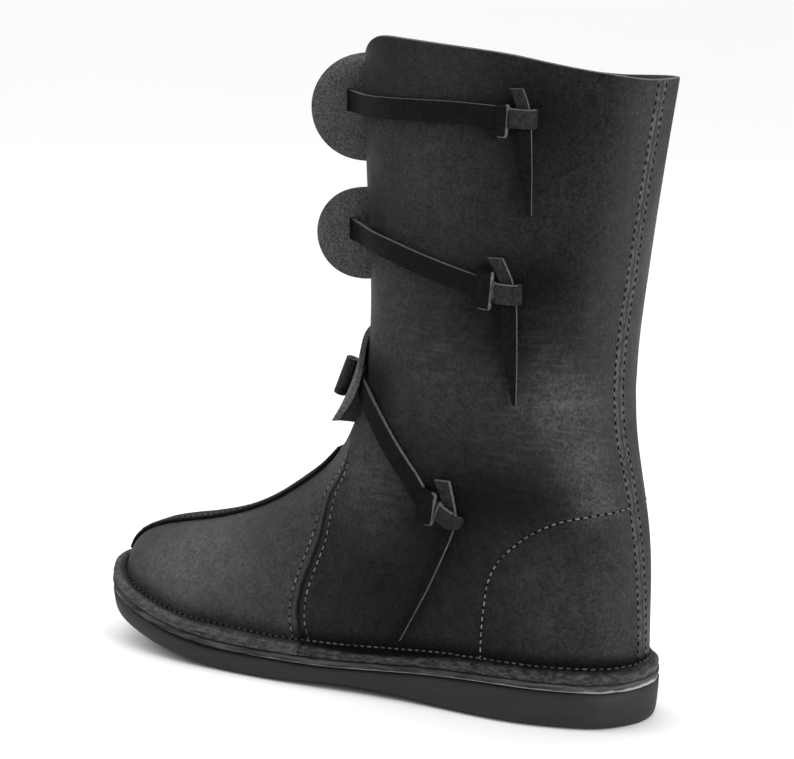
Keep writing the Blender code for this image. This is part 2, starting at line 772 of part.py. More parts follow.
def build_closure(name, middle, radius, root, strap_height):
    """A tab with its slit, the toggle on it, the strap to it and that strap's knot."""
    standing = name != "bottom"
    plan = standing_tab if standing else wrapped_tab
    forward = STANDING_OUTWARD if standing else WRAPPED_OUTWARD
    tab = sheet("tab_" + name, tab_grid(plan, middle, radius, root), forward, LEATHER, -1)
    face = np.array(plan(SLIT_REACH, strap_height))
    course = np.array(plan(SLIT_REACH + 1, strap_height)) - face
    grain = np.array([-course[1], course[0]]) / np.linalg.norm(course)
    heart = face - grain * LEATHER / 2
    places = np.linspace(0, 1, STRAP_ROWS)
    rows = []
    if standing:
        leave = leaving_place(name, heart)
        rows = [strap_edges(place * leave, name) for place in places]
        along_strap = heart - rows[-1][1][:2]
        along_strap /= np.linalg.norm(along_strap)
        end = heart + along_strap * (LEATHER / 2 + GAP)
        rows.append([np.array([*end, strap_height + STRAP_WIDTH * k]) for k in ACROSS])
        seat = along_strap
        centre = heart + np.array([along_strap[1], -along_strap[0]]) * THONG / 2
        axis = (0, 0, 1)
    else:
        rows = [strap_edges(place, name) for place in places]
        seat = grain
        centre = heart
        ends = (strap_height - TOGGLE_REST, strap_height + TOGGLE_REST)
        low, high = (np.array([*plan(SLIT_REACH, height), height]) for height in ends)
        axis = high - low
    sheet("strap_" + name, np.array(rows), STRAP_OUTWARD, THONG, 1)
    slit = (THONG + 2 * SLIT_EASE, STRAP_WIDTH + 2 * SLIT_EASE)
    cut(tab, box_cutter("slit_" + name, (*centre, strap_height), seat, SLIT_CUT, *slit))
    rest = heart + seat * (LEATHER / 2 + TOGGLE_CLEAR + TOGGLE_RADIUS)
    build_toggle("toggle_" + name, (*rest, strap_height), axis)
    build_knot(name)


def build_knot(name):
    """The two wraps of a knot and the free end between them."""
    station, height, width, tall = LOOPS[name]
    grid = [[on_wall(station - width * u, height + tall * v, ON_LEATHER) for u in ACROSS]
            for v in LOOP_LEVELS]
    loop = sheet("loop_" + name, np.array(grid), KNOT_OUTWARD, LOOP_THICKNESS, 1)
    rounding = loop.modifiers.new("Rounded", "BEVEL")
    rounding.width = LOOP_ROUND * MM
    rounding.segments = 1
    rounding.angle_limit = LOOP_SHARP
    station, height, width, tall = BANDS[name]
    half = width / 2 - THONG
    grid = []
    for u in np.linspace(-1, 1, BAND_COLUMNS):
        place = math.copysign(math.sqrt(abs(u)), u)
        lift = ON_LEATHER + BAND_RISE * (1 - abs(place) ** BAND_POWER)
        grid.append([on_wall(station + half * place, height + tall * v, lift) for v in ACROSS])
    sheet("band_" + name, np.array(grid), KNOT_OUTWARD, THONG, 1)
    rows = np.array(TAILS[name])
    steps = [rows[:1]]
    for a, b in zip(rows, rows[1:]):
        count = max(1, round(abs(a[1] - b[1]) / TAIL_STEP))
        steps.append(a + (b - a) * np.arange(1, count + 1)[:, None] / count)
    grid = [[on_wall(s + w * k, h, ON_LEATHER) for k in ACROSS] for s, h, w in np.vstack(steps)]
    sheet("tail_" + name, np.array(grid), KNOT_OUTWARD, THONG, 1)


for leftover in list(bpy.data.objects):
    bpy.data.objects.remove(leftover)
BOOT = bpy.data.collections.new("boot")
CUTTERS = bpy.data.collections.new("cutters")
bpy.context.scene.collection.children.link(BOOT)
bpy.context.scene.collection.children.link(CUTTERS)

build_sole()
build_upper()
build_strip()
for tab in TABS:
    build_closure(*tab)
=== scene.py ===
# %% [markdown]
# # A knotted leather boot, piece by piece
#
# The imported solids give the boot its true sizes. This lesson dresses each of them: leather is softened
# and creased, seams are sewn, straps get their pale cut edges and the sole its rubber. Every piece keeps
# the place of the solid that it stands for.

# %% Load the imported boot
import math

import bmesh
import bpy
import numpy as np
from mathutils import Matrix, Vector, noise
from mathutils.bvhtree import BVHTree


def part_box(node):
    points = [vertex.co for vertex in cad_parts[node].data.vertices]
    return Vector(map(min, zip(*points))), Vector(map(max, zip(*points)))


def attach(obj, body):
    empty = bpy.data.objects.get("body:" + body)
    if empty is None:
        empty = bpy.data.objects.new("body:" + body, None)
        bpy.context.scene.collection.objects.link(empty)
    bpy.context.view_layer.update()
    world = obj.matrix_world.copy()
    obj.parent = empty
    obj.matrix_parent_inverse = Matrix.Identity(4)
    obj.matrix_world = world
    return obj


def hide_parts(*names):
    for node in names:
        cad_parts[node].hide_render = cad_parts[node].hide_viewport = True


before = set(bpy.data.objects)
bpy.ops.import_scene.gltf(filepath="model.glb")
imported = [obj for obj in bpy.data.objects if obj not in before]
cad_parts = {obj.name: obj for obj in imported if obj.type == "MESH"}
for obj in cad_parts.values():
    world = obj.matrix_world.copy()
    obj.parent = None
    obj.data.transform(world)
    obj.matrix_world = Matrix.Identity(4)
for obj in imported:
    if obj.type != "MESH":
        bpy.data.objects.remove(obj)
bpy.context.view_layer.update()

MM = 0.001


def in_mm(box):
    """Corners in millimetres, for printing."""
    return [tuple(round(v / MM, 1) for v in corner) for corner in box]


# %% [markdown]
# ## The maker's measures
#
# A boot is measured from the back of the heel. A *station* is the distance forward of that, a *height* is
# taken from the floor, and a *side* is the distance out from the middle of the heel, with the outer side
# of this left boot positive. One small function turns these millimetres into places in the scene.

# %% Stations, heights and sides
MIDDLE_SIDE = 1.25
MIDDLE_STATION = 154.9


def spot(side, station, height):
    """A place given in the maker's millimetres."""
    return Vector((side - MIDDLE_SIDE, MIDDLE_STATION - station, height)) * MM


print("the back of the heel stands at", in_mm([spot(0.0, 0.0, 0.0)]))

# %% [markdown]
# ## Camera, floor and light
#
# The camera stands behind the outer side of the boot at a little over knee height, as in the photograph,
# with a long lens. A white floor, a dim surround and three soft lights make the studio: a broad one from
# above that whitens the floor and the top of the foot, one behind the heel for the gleam by the back seam,
# and a weak one at the toe. The side that faces the camera stays dark, as leather does.

# %% Set up the studio
CAMERA_PLACE = Vector((0.9601, 0.6215, 0.3597))
CAMERA_AIM = Vector((0.0, 0.0166, 0.1468))
LENS = 109.1
FLOOR_REACH = 20.0
SURROUND = 0.42
LIGHTS = [
    # name, kind, place, size, power
    ("sky_light", "SUN", (-0.5, -1.0, 2.0), math.radians(70), 2.2),
    ("heel_light", "AREA", (0.35, 1.5, 0.75), 0.9, 26.0),
    ("toe_light", "AREA", (0.9, -1.3, 1.1), 0.9, 9.0),
]


def facing(place):
    """The turn that points a camera or a lamp at the boot."""
    return (CAMERA_AIM - Vector(place)).to_track_quat("-Z", "Y").to_euler()


scene = bpy.context.scene
scene.view_settings.view_transform = "Standard"
camera = bpy.data.objects.new("camera", bpy.data.cameras.new("camera"))
camera.data.lens = LENS
camera.location = CAMERA_PLACE
camera.rotation_euler = facing(CAMERA_PLACE)
scene.collection.objects.link(camera)
scene.camera = camera

for name, kind, place, size, power in LIGHTS:
    lamp = bpy.data.objects.new(name, bpy.data.lights.new(name, kind))
    setattr(lamp.data, "angle" if kind == "SUN" else "size", size)
    lamp.data.energy = power
    lamp.location = place
    lamp.rotation_euler = facing(place)
    scene.collection.objects.link(lamp)

world = bpy.data.worlds.new("surround")
world.use_nodes = True
sky = world.node_tree.nodes["Background"].inputs
sky["Color"].default_value = (1.0, 1.0, 1.0, 1.0)
sky["Strength"].default_value = SURROUND
scene.world = world
print("studio: a lens of", LENS, "mm and", len(LIGHTS), "lights")

# %% [markdown]
# ## Writing a finish as sums
#
# A finish is a net of small nodes. To keep it readable, a `Wire` stands for one node output and takes part
# in ordinary Python sums, and a `Graph` places every other node with one method. A `Finish` is a graph
# that belongs to a material and knows the place on the boot in millimetres, so that a grain of 0.8 is
# really 0.8 mm across.

# %% Wires, graphs and finishes
class Wire:
    """One node output that takes part in ordinary sums."""

    def __init__(self, graph, socket):
        self.graph = graph
        self.socket = socket

    def __add__(self, other):
        return self.graph.maths("ADD", self, other)

    def __sub__(self, other):
        return self.graph.maths("SUBTRACT", self, other)

    def __rsub__(self, other):
        return self.graph.maths("SUBTRACT", other, self)

    def __mul__(self, other):
        return self.graph.maths("MULTIPLY", self, other)

    def __abs__(self):
        return self.graph.maths("ABSOLUTE", self)

    __radd__ = __add__
    __rmul__ = __mul__


class Graph:
    """A node tree that is filled by one method."""

    def __init__(self, tree):
        self.tree = tree

    def add(self, kind, settings=(), values=(), output=0):
        node = self.tree.nodes.new(kind)
        for name, value in dict(settings).items():
            setattr(node, name, value)
        for name, value in dict(values).items():
            self.plug(node.inputs[name], value)
        return Wire(self, node.outputs[output])

    def plug(self, socket, value):
        if isinstance(value, Wire):
            self.tree.links.new(value.socket, socket)
        else:
            socket.default_value = value

    def maths(self, operation, *values):
        return self.add("ShaderNodeMath", {"operation": operation}, dict(enumerate(values)))


class Finish(Graph):
    """A material written as sums over places in millimetres."""

    def __init__(self, name):
        self.material = bpy.data.materials.new(name)
        self.material.use_nodes = True
        super().__init__(self.material.node_tree)
        self.shader = self.tree.nodes["Principled BSDF"]
        place = self.add("ShaderNodeTexCoord", output="Object")
        self.place = self.add("ShaderNodeVectorMath", {"operation": "SCALE"}, {0: place, "Scale": 1 / MM}, 0)

    def put(self, **inputs):
        for name, value in inputs.items():
            self.plug(self.shader.inputs[name.replace("_", " ").title().replace("Ior", "IOR")], value)

    def noise(self, size, detail=2.0, along=None, roughness=0.55, bend=0.0):
        """A cloud whose patches are about the given size in mm, from 0 to 1."""
        place = self.place
        if along is not None:
            place = self.add("ShaderNodeVectorMath", {"operation": "MULTIPLY"}, {0: place, 1: along})
        values = {"Vector": place, "Scale": 1 / size, "Detail": detail}
        values |= {"Roughness": roughness, "Distortion": bend}
        return self.add("ShaderNodeTexNoise", {}, values)

    def pebbles(self, size):
        """Distance to the middle of the nearest pebble, for a leather grain."""
        return self.add("ShaderNodeTexVoronoi", {}, {"Vector": self.place, "Scale": 1 / size})

    def rise(self, value, low, high, floor=0.0, top=1.0):
        """A soft step from floor to top while the value goes from low to high."""
        values = {"Value": value, "From Min": low, "From Max": high, "To Min": floor, "To Max": top}
        return self.add("ShaderNodeMapRange", {"interpolation_type": "SMOOTHSTEP"}, values)

    def line(self, distance, width):
        """1 on a line and 0 further off than the width, from the signed distance to it."""
        return self.rise(abs(distance), 0.0, width, 1.0, 0.0)

    def told(self, name):
        """A number that the mesh carries at each of its points."""
        return self.add("ShaderNodeAttribute", {"attribute_name": name}, output="Fac")

    def bump(self, height, depth, under=None):
        """Relief of a depth in mm; several are laid one on another."""
        values = {"Height": height, "Distance": depth * MM, "Strength": 1.0}
        if under is not None:
            values["Normal"] = under
        return self.add("ShaderNodeBump", {}, values)


# %% [markdown]
# The floor is plain and pale, with a very faint cloud so that it isn't one flat tone.

# %% Lay the floor
FLOOR_TONE = 0.93
FLOOR_CLOUD = 0.02
FLOOR_CLOUD_SIZE = 400.0

floor_finish = Finish("pale_floor")
floor_cloud = FLOOR_CLOUD * floor_finish.noise(FLOOR_CLOUD_SIZE)
floor_finish.put(base_color=FLOOR_TONE + floor_cloud, roughness=0.8)
floor_mesh = bpy.data.meshes.new("floor")
floor_corners = [(x * FLOOR_REACH, y * FLOOR_REACH, 0.0) for x, y in [(-1, -1), (1, -1), (1, 1), (-1, 1)]]
floor_mesh.from_pydata(floor_corners, [], [(0, 1, 2, 3)])
floor = bpy.data.objects.new("floor", floor_mesh)
floor_mesh.materials.append(floor_finish.material)
scene.collection.objects.link(floor)
print("floor", 2 * FLOOR_REACH, "m across")

# %% [markdown]
# ## From a solid to leather
#
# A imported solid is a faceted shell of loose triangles. It is welded, its triangles are paired into
# four-sided faces, and subdivision rounds it while edges that are sharp in the solid are held. Modelling
# each piece anew would look the same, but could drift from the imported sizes. What comes out here is a plain
# mesh at the same place.

# %% Weld, pair and round a solid
WELD = 0.02 * MM
PAIR_ANGLE = math.radians(40)


def welded(node):
    """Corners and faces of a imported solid, as one skin of mostly four-sided faces."""
    bm = bmesh.new()
    bm.from_mesh(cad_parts[node].data)
    bmesh.ops.remove_doubles(bm, verts=bm.verts, dist=WELD)
    bmesh.ops.join_triangles(
        bm, faces=bm.faces, angle_face_threshold=PAIR_ANGLE, angle_shape_threshold=PAIR_ANGLE
    )
    bm.verts.index_update()
    corners = [vertex.co.copy() for vertex in bm.verts]
    faces = [[vertex.index for vertex in face.verts] for face in bm.faces]
    bm.free()
    return corners, faces


def new_piece(name, corners, faces):
    """A mesh object at the origin."""
    mesh = bpy.data.meshes.new(name)
    mesh.from_pydata(corners, [], faces)
    piece = bpy.data.objects.new(name, mesh)
    scene.collection.objects.link(piece)
    return piece


def settle(piece):
    """Works the modifiers into a plain mesh."""
    depsgraph = bpy.context.evaluated_depsgraph_get()
    mesh = bpy.data.meshes.new_from_object(piece.evaluated_get(depsgraph))
    piece.modifiers.clear()
    piece.data = mesh
    mesh.name = piece.name
    return piece


def rounded(name, node, levels, sharp, hold):
    """A solid rounded by subdivision, with edges over the sharp angle held by a crease."""
    piece = new_piece(name, *welded(node))
    bm = bmesh.new()
    bm.from_mesh(piece.data)
    held = [hold if edge.calc_face_angle(0.0) > math.radians(sharp) else 0.0 for edge in bm.edges]
    bm.free()
    piece.data.attributes.new("crease_edge", "FLOAT", "EDGE").data.foreach_set("value", held)
    subdivision = piece.modifiers.new("round", "SUBSURF")
    subdivision.levels = subdivision.render_levels = levels
    settle(piece)
    piece.data.shade_smooth()
    return piece


def read_off(items, name):
    """One vector from each point or face of a mesh, as the rows of an array."""
    flat = np.empty(len(items) * 3)
    items.foreach_get(name, flat)
    return flat.reshape(-1, 3)


def points_of(mesh):
    return read_off(mesh.vertices, "co")


def move_points(mesh, points):
    mesh.vertices.foreach_set("co", points.ravel())
    mesh.update()


def tell(piece, name, values):
    """Leaves a number at each point of a piece for its finish to read."""
    attribute = piece.data.attributes.new(name, "FLOAT", "POINT")
    attribute.data.foreach_set("value", np.asarray(values, np.float32))


def skin_of(mesh):
    return BVHTree.FromPolygons([v.co for v in mesh.vertices], [p.vertices for p in mesh.polygons])


def dress(piece, finishes, picked=None):
    """Gives a piece its finishes and, where there are several, each face the number of its own."""
    for finish in finishes:
        piece.data.materials.append(finish.material)
    if picked is not None:
        piece.data.polygons.foreach_set("material_index", picked)


def keep(piece, slot, *nodes):
    """Hands a finished piece to the boot in the place of its solids."""
    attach(piece, "root")
    if nodes:
        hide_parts(*nodes)
    print(piece.name, len(piece.data.polygons), "faces")


# %% [markdown]
# ## The upper: one skin of leather
#
# Vamp, quarters and shaft are sewn into one skin about 2.6 mm thick. It is rounded first; then the seams
# are found on it. Each seam is a short table of stations and heights, drawn as a soft curve. A curve drawn
# flat would float off the leg, so every spot of it is laid on the leather by a ray.

# %% Round the upper and lay lines on it
UPPER_LEVELS = 2
UPPER_SHARP = 48.0
UPPER_HOLD = 0.9
LEATHER = 2.6
FAR = 300.0
LINE_STEP = 1.5

upper = rounded("upper_leather", "upper", UPPER_LEVELS, UPPER_SHARP, UPPER_HOLD)
upper_skin = skin_of(upper.data)
print("upper:", len(upper.data.vertices), "points")


def flowing(rows, step=LINE_STEP):
    """Even spots along a soft curve through the rows of a table."""
    rows = np.array(rows, float)
    chord = np.concatenate([[0.0], np.cumsum(np.linalg.norm(np.diff(rows, axis=0), axis=1))])
    slope = np.gradient(rows, chord, axis=0)
    at = np.linspace(0.0, chord[-1], max(2, round(chord[-1] / step) + 1))
    row = np.clip(np.searchsorted(chord, at, side="right") - 1, 0, len(rows) - 2)
    span = (chord[row + 1] - chord[row])[:, None]
    t = (at - chord[row])[:, None] / span
    start = (1 + 2 * t) * (1 - t) ** 2 * rows[row] + t * (1 - t) ** 2 * span * slope[row]
    end = t * t * (3 - 2 * t) * rows[row + 1] + t * t * (t - 1) * span * slope[row + 1]
    return start + end


def cast(skin, starts, way):
    """Places and normals where rays from the starts meet a skin."""
    hits = [skin.ray_cast(start, Vector(way))[:2] for start in starts]
    hits = [hit for hit in hits if hit[0] is not None]
    return np.array([place for place, _ in hits]), np.array([normal for _, normal in hits])


def laid(rows, outward):
    """Rows of stations and heights laid on the leather from one side."""
    return cast(upper_skin, [spot(outward * FAR, *row) for row in rows], (-outward, 0, 0))


# %% [markdown]
# The seam between vamp and quarter runs from the throat down to the edge of the sole. The counter seam
# curves round the heel. Both are the same on the inner side. The back seam wanders a little off the middle,
# as a hand-sewn one does. No rule gives such lines, so their tables are listed one by one.

# %% Draw the seams
VAMP_SEAM = [
    # station of the back row, station of the front row, height
    (147.5, 151.5, 112.0), (149.5, 154.0, 106.0), (155.7, 163.6, 93.0), (159.2, 168.0, 70.5),
    (164.1, 172.6, 55.5), (167.4, 175.6, 43.5), (167.9, 176.3, 32.0), (165.6, 174.4, 22.5),
]
COUNTER_SEAM = [
    # station, height
    (10.4, 101.0), (19.6, 99.5), (36.4, 94.9), (46.2, 89.6), (55.0, 82.7), (62.7, 74.7), (67.4, 65.5),
    (69.6, 53.4), (71.1, 38.8), (71.4, 28.0),
]
BACK_SEAM = [
    # side, height
    (3.3, 294.0), (3.4, 268.0), (3.8, 241.0), (4.4, 214.0), (5.4, 188.0), (6.0, 165.0), (5.4, 137.0),
    (3.0, 108.0), (2.4, 76.0), (1.4, 49.0), (1.0, 28.0),
]
BACK_ROW_SHIFT = 3.6
SIDES = (1.0, -1.0)


def laid_from_back(rows):
    """Rows of sides and heights laid on the leather from behind."""
    return cast(upper_skin, [spot(side, -FAR, height) for side, height in rows], (0, -1, 0))


vamp_table = np.array(VAMP_SEAM)
vamp_line = flowing(np.column_stack([vamp_table[:, :2].mean(axis=1), vamp_table[:, 2]]))
counter_line = flowing(COUNTER_SEAM)
back_line = flowing(BACK_SEAM)
vamp_rows = [laid(flowing(vamp_table[:, [row, 2]]), side) for side in SIDES for row in (0, 1)]
counter_rows = [laid(counter_line, side) for side in SIDES]
back_rows = [laid_from_back(back_line + [shift, 0.0]) for shift in (-BACK_ROW_SHIFT, BACK_ROW_SHIFT)]
print("seam rows:", [len(row[0]) for row in vamp_rows + counter_rows + back_rows])

# %% [markdown]
# At the foot of the wall the leather turns out into a flange that is sewn down to the sole. To find that
# fold all round, rays are sent up from below along spokes that stand out from the middle of the foot. The
# flange is followed inward until it ends, and the fold lies one leather thickness out from there.

# %% Find the fold round the foot
SPINE = [
    # side, station
    (0.0, 40.0), (-2.0, 262.0),
]
SPOKES_ROUND = 44
SPOKES_ALONG = 80
SPOKE_STEP = 0.4
SPOKE_REACH = (66.0, 12.0)
FLANGE_STEP = 1.2
FOLD_OUT = 0.9
FOLD_EASE = 4


def spokes():
    """Spots on the spine of the foot, each with the direction of one spoke, once round."""
    heel, toe = np.array(SPINE)
    share = np.linspace(0.0, 1.0, SPOKES_ALONG, endpoint=False)
    turn = np.linspace(0.0, math.pi, SPOKES_ROUND, endpoint=False)
    outer = [(heel + (toe - heel) * s, (1.0, 0.0)) for s in share]
    front = [(toe, (math.cos(a), math.sin(a))) for a in turn]
    inner = [(toe + (heel - toe) * s, (-1.0, 0.0)) for s in share]
    rear = [(heel, (-math.cos(a), -math.sin(a))) for a in turn]
    return outer + front + inner + rear


def fold_on(start, way):
    """The fold on one spoke: the inner end of the flange, followed from outside."""
    under = None
    for far in np.arange(*SPOKE_REACH, -SPOKE_STEP):
        side, station = start[0] + way[0] * far, start[1] + way[1] * far
        place, _, _, _ = upper_skin.ray_cast(spot(side, station, -FAR), Vector((0, 0, 1)))
        if under is not None and (place is None or place.z > under.z + FLANGE_STEP * MM):
            out = Vector((way[0], -way[1], 0.0))
            return under + out * ((LEATHER + FOLD_OUT) * MM) + Vector((0, 0, LEATHER * MM)), out
        under = place
    return None


def eased(ring):
    """A closed ring of values, each drawn to the mean of its neighbours."""
    shifts = range(-FOLD_EASE, FOLD_EASE + 1)
    return np.mean([np.roll(ring, shift, axis=0) for shift in shifts], axis=0)


folds = [fold for fold in (fold_on(*spoke) for spoke in spokes()) if fold]
fold_line = eased(np.array([place for place, _ in folds]))
fold_out = eased(np.array([out for _, out in folds]))
print("fold:", len(fold_line), "spots, box", in_mm([fold_line.min(0), fold_line.max(0)]))

# %% [markdown]
# ## Creases given one by one
#
# Leather keeps the folds of the walker: fine rolls across the back of the ankle, drag lines at the instep
# under the lowest strap, and slack folds half way up the shaft. A cloth simulation would fold the leather,
# but not in these places. So each row below is one crease with its own depth and width: a trough lies along
# the line and a low ridge on each side of it.

# %% Press the creases into the leather
CREASES = [
    # side, stations and heights along it, depth, width
    (1, [(22, 171), (36, 166), (52, 166), (66, 170)], 0.7, 4.5),
    (1, [(20, 160), (34, 156), (50, 153), (70, 156)], 0.9, 5.0),
    (1, [(21, 149), (40, 144), (62, 140), (82, 141)], 0.8, 5.0),
    (1, [(20, 137), (36, 133), (54, 127), (70, 125)], 0.7, 4.5),
    (1, [(72, 186), (88, 180), (104, 180), (118, 184)], 0.6, 5.0),
    (1, [(80, 171), (96, 164), (112, 162), (126, 166)], 0.7, 5.0),
    (1, [(140, 118), (128, 112), (118, 103), (112, 92)], 0.8, 5.0),
    (1, [(150, 104), (138, 97), (128, 86), (122, 74)], 0.7, 5.0),
    (1, [(60, 228), (84, 224), (108, 225), (128, 230)], 0.5, 6.0),
    (1, [(30, 236), (52, 231), (78, 233)], 0.4, 6.0),
    (1, [(236, 62), (228, 52), (224, 40)], 0.6, 6.0),
    (1, [(214, 72), (206, 60), (202, 44)], 0.5, 6.0),
    (-1, [(22, 168), (40, 162), (60, 164), (80, 170)], 0.8, 5.0),
    (-1, [(20, 152), (42, 146), (66, 143), (90, 146)], 0.9, 5.0),
    (-1, [(22, 136), (42, 129), (62, 124)], 0.7, 5.0),
    (-1, [(148, 112), (134, 104), (122, 90), (116, 76)], 0.8, 5.5),
    (-1, [(70, 226), (96, 221), (124, 224)], 0.5, 6.0),
    (-1, [(232, 60), (226, 48), (222, 36)], 0.6, 6.0),
]


def reach(points, path):
    """Distance in mm from many points to a path, with the nearest place on it."""
    gap = np.full(len(points), np.inf)
    foot = np.zeros_like(points)
    for start, end in zip(path[:-1], path[1:]):
        along = end - start
        share = np.clip((points - start) @ along / (along @ along), 0.0, 1.0)
        near = start + share[:, None] * along
        distance = np.linalg.norm(points - near, axis=1)
        closer = distance < gap
        gap[closer] = distance[closer]
        foot[closer] = near[closer]
    return gap / MM, foot


COLLAR_FROM = 200.0
LOOK_FROM = 0.5
LOOK_FAR = 150.0


def looks_inward(places, normals):
    """True where leather faces the inside of the boot; near the collar it can't look over the far rim."""
    inward = []
    for place, normal in zip(places, normals):
        way = Vector(normal)
        if place[2] > COLLAR_FROM * MM:
            way.z = min(way.z, 0.0)
        hit = upper_skin.ray_cast(Vector(place) + way * (LOOK_FROM * MM), way, LOOK_FAR * MM)[0]
        inward.append(hit is not None)
    return np.array(inward)


CREASE_STEP = 4.0
CREASE_ENDS = 0.02

upper_points = points_of(upper.data)
upper_normals = read_off(upper.data.vertices, "normal")
inner_side = looks_inward(upper_points, upper_normals)
pressed = np.zeros(len(upper_points))
for side, rows, depth, width in CREASES:
    places, _ = laid(flowing(rows, CREASE_STEP), side)
    gap, foot = reach(upper_points, places)
    along = np.linalg.norm(foot[:, None, :] - places[None], axis=2).argmin(1) / (len(places) - 1)
    fade = np.sqrt(np.sin(math.pi * along) + CREASE_ENDS)
    share = gap / width
    pressed -= depth * (1 - share**2) * np.exp(-share**2) * fade
outward = np.where(inner_side, -1.0, 1.0)
upper_points += upper_normals * (pressed * outward * MM)[:, None]
move_points(upper.data, upper_points)
upper_skin = skin_of(upper.data)
print("creases press the leather by", round(pressed.min(), 2), "to", round(pressed.max(), 2), "mm")

# %% [markdown]
# The turned-out flange is not flat: sewn down along the fold, it swells into a soft roll. Each point on its
# upper side is lifted by a half wave across the flange. Its rim was cut by hand, so a slow and a quick noise
# move the rim in and out; bump alone would leave the outline too clean.

# %% Swell the flange into a roll
ROLL_LIFT = 1.3
ROLL_SPAN = 6.5
RAGGED = [
    # size of the bays along a cut edge, how deep they go
    (9.0, 0.45), (3.5, 0.35),
]

fold_ring = np.vstack([fold_line, fold_line[:1]])


def gap_to_fold(points):
    """Signed distance in mm to the fold: positive up the wall, negative out on the flange."""
    gap, foot = reach(points, fold_ring)
    nearest = np.linalg.norm(foot[:, None, :] - fold_line[None], axis=2).argmin(1)
    climb = points[:, 2] - foot[:, 2]
    spread = np.einsum("ij,ij->i", points - foot, fold_out[nearest])
    return gap * np.where(climb > spread, 1.0, -1.0)


def ragged_by(points, normals):
    """How far each point of a hand-cut edge lies in or out of its even line."""
    depth = np.zeros(len(points))
    for size, deep in RAGGED:
        depth += deep * np.array([noise.noise(Vector(point) / (size * MM)) for point in points])
    return normals * [1.0, 1.0, 0.0] * (depth * MM)[:, None]


across_flange = np.clip(-gap_to_fold(upper_points) / ROLL_SPAN, 0.0, 1.0)
on_top = np.clip(upper_normals[:, 2], 0.0, 1.0)
lifted = np.sin(math.pi * across_flange) * on_top * ROLL_LIFT
upper_points[:, 2] += lifted * MM
upper_points += ragged_by(upper_points, upper_normals) * (across_flange**2)[:, None]
move_points(upper.data, upper_points)
upper_skin = skin_of(upper.data)
print("the flange swells by up to", round(lifted.max(), 2), "mm")

# %% [markdown]
# ## What the leather knows about its seams
#
# For a crisp groove at any size, each point of the leather carries its signed distance to every seam. The
# finish reads these numbers: a ragged groove at the vamp seam with painted shade in it, a raised pale band at
# the back, a painted shadow in the fold round the foot. Modelled grooves would need far more faces.

# %% Tell the leather its distances
def signed(paths, toward):
    """Signed distance in mm to the nearest of several paths; positive on the side given by toward."""
    best = np.full(len(upper_points), np.inf)
    for path in paths:
        gap, foot = reach(upper_points, path)
        sign = np.where((upper_points - foot) @ np.array(toward) > 0, 1.0, -1.0)
        best = np.where(gap < np.abs(best), gap * sign, best)
    return np.clip(best, -FAR, FAR)


GAPS = [
    # name, paths, the way to their positive side
    ("vamp_gap", [laid(vamp_line, side)[0] for side in SIDES], (0.0, -1.0, 0.0)),
    ("counter_gap", [row[0] for row in counter_rows], (0.0, 0.7, -0.7)),
    ("back_gap", [laid_from_back(back_line)[0]], (1.0, 0.0, 0.0)),
]
for name, paths, toward in GAPS:
    tell(upper, name, signed(paths, toward))
tell(upper, "fold_gap", gap_to_fold(upper_points))
print("distances told to", len(upper_points), "points:", [gap[0] for gap in GAPS] + ["fold_gap"])

# %% [markdown]
# Some places are told to the leather too: a painted highlight, a hazy gleam with fine rolls, at the back of the
# ankle, faint hairline scuffs on the counter, and the waist, where the painted shadow of the fold reaches
# further out over the flange. Then soft patches paint light and shade over the wax tone of the leather. The
# front edge of the shaft, the ankle and the top of the vamp are pale, partly where wax has left them and partly
# as painted light.
# The middle of the shaft and the quarter low down are dark, partly where wax has gathered and partly as painted
# shade, and by the roots of the tabs lies a painted shadow of the tabs. Each row is one soft patch.

# %% Mark the worn places and the painted light and shade
# places of wear and of painted light: a painted gleam at the ankle, scuffs at the heel, a painted fold shadow
# at the waist
WEAR_AND_PAINTED_LIGHT_PLACES = [
    # name, side, station, height, reach
    ("ankle", 1, 32, 152, 38), ("ankle", 1, 95, 172, 24), ("ankle", 1, 132, 100, 22),
    ("ankle", -1, 40, 152, 38), ("ankle", -1, 130, 96, 26),
    ("heel", 1, 32, 58, 36), ("heel", -1, 32, 58, 36),
    ("waist", 1, 126, 22, 42), ("waist", -1, 126, 22, 42),
]
# wax tone with painted light and shade: amounts above 0 paint it paler, below 0 darker; the rows at stations
# 133 and 138 paint the shadow of the tabs
WAX_AND_PAINTED_LIGHT = [
    # station, height, reach, how much paler or darker, on both sides
    (126, 192, 34, 0.95), (112, 165, 26, 0.35), (88, 254, 34, 1.05), (60, 262, 40, -0.35), (84, 300, 24, 0.3),
    (64, 192, 28, -0.45), (34, 284, 32, -0.65), (46, 203, 22, -0.5), (27, 206, 18, -0.5), (52, 178, 18, -0.5),
    (36, 152, 24, 0.6), (12, 148, 18, 2.3), (4, 126, 14, 2.7), (-4, 108, 13, 2.6), (82, 152, 28, 0.65),
    (118, 56, 36, -0.55), (92, 88, 30, -0.6), (68, 106, 24, -0.55), (136, 112, 24, 1.6), (146, 88, 22, 0.35),
    (124, 78, 16, 0.4), (44, 102, 20, -0.6), (24, 56, 30, 0.75), (58, 38, 26, -0.3), (240, 62, 36, 1.05),
    (272, 50, 22, 0.4), (225, 22, 24, -0.5), (118, 302, 18, -0.35), (270, 26, 20, -0.3), (190, 26, 16, -0.3),
    (133, 224, 16, -1.15), (133, 154, 15, -1.2), (133, 286, 14, -0.6), (138, 208, 10, -0.5),
]
OFF_WALL = 48.0
WAX_AND_LIGHT_RANGE = (0.2, 5.2)
FALL_OFF = 1.5


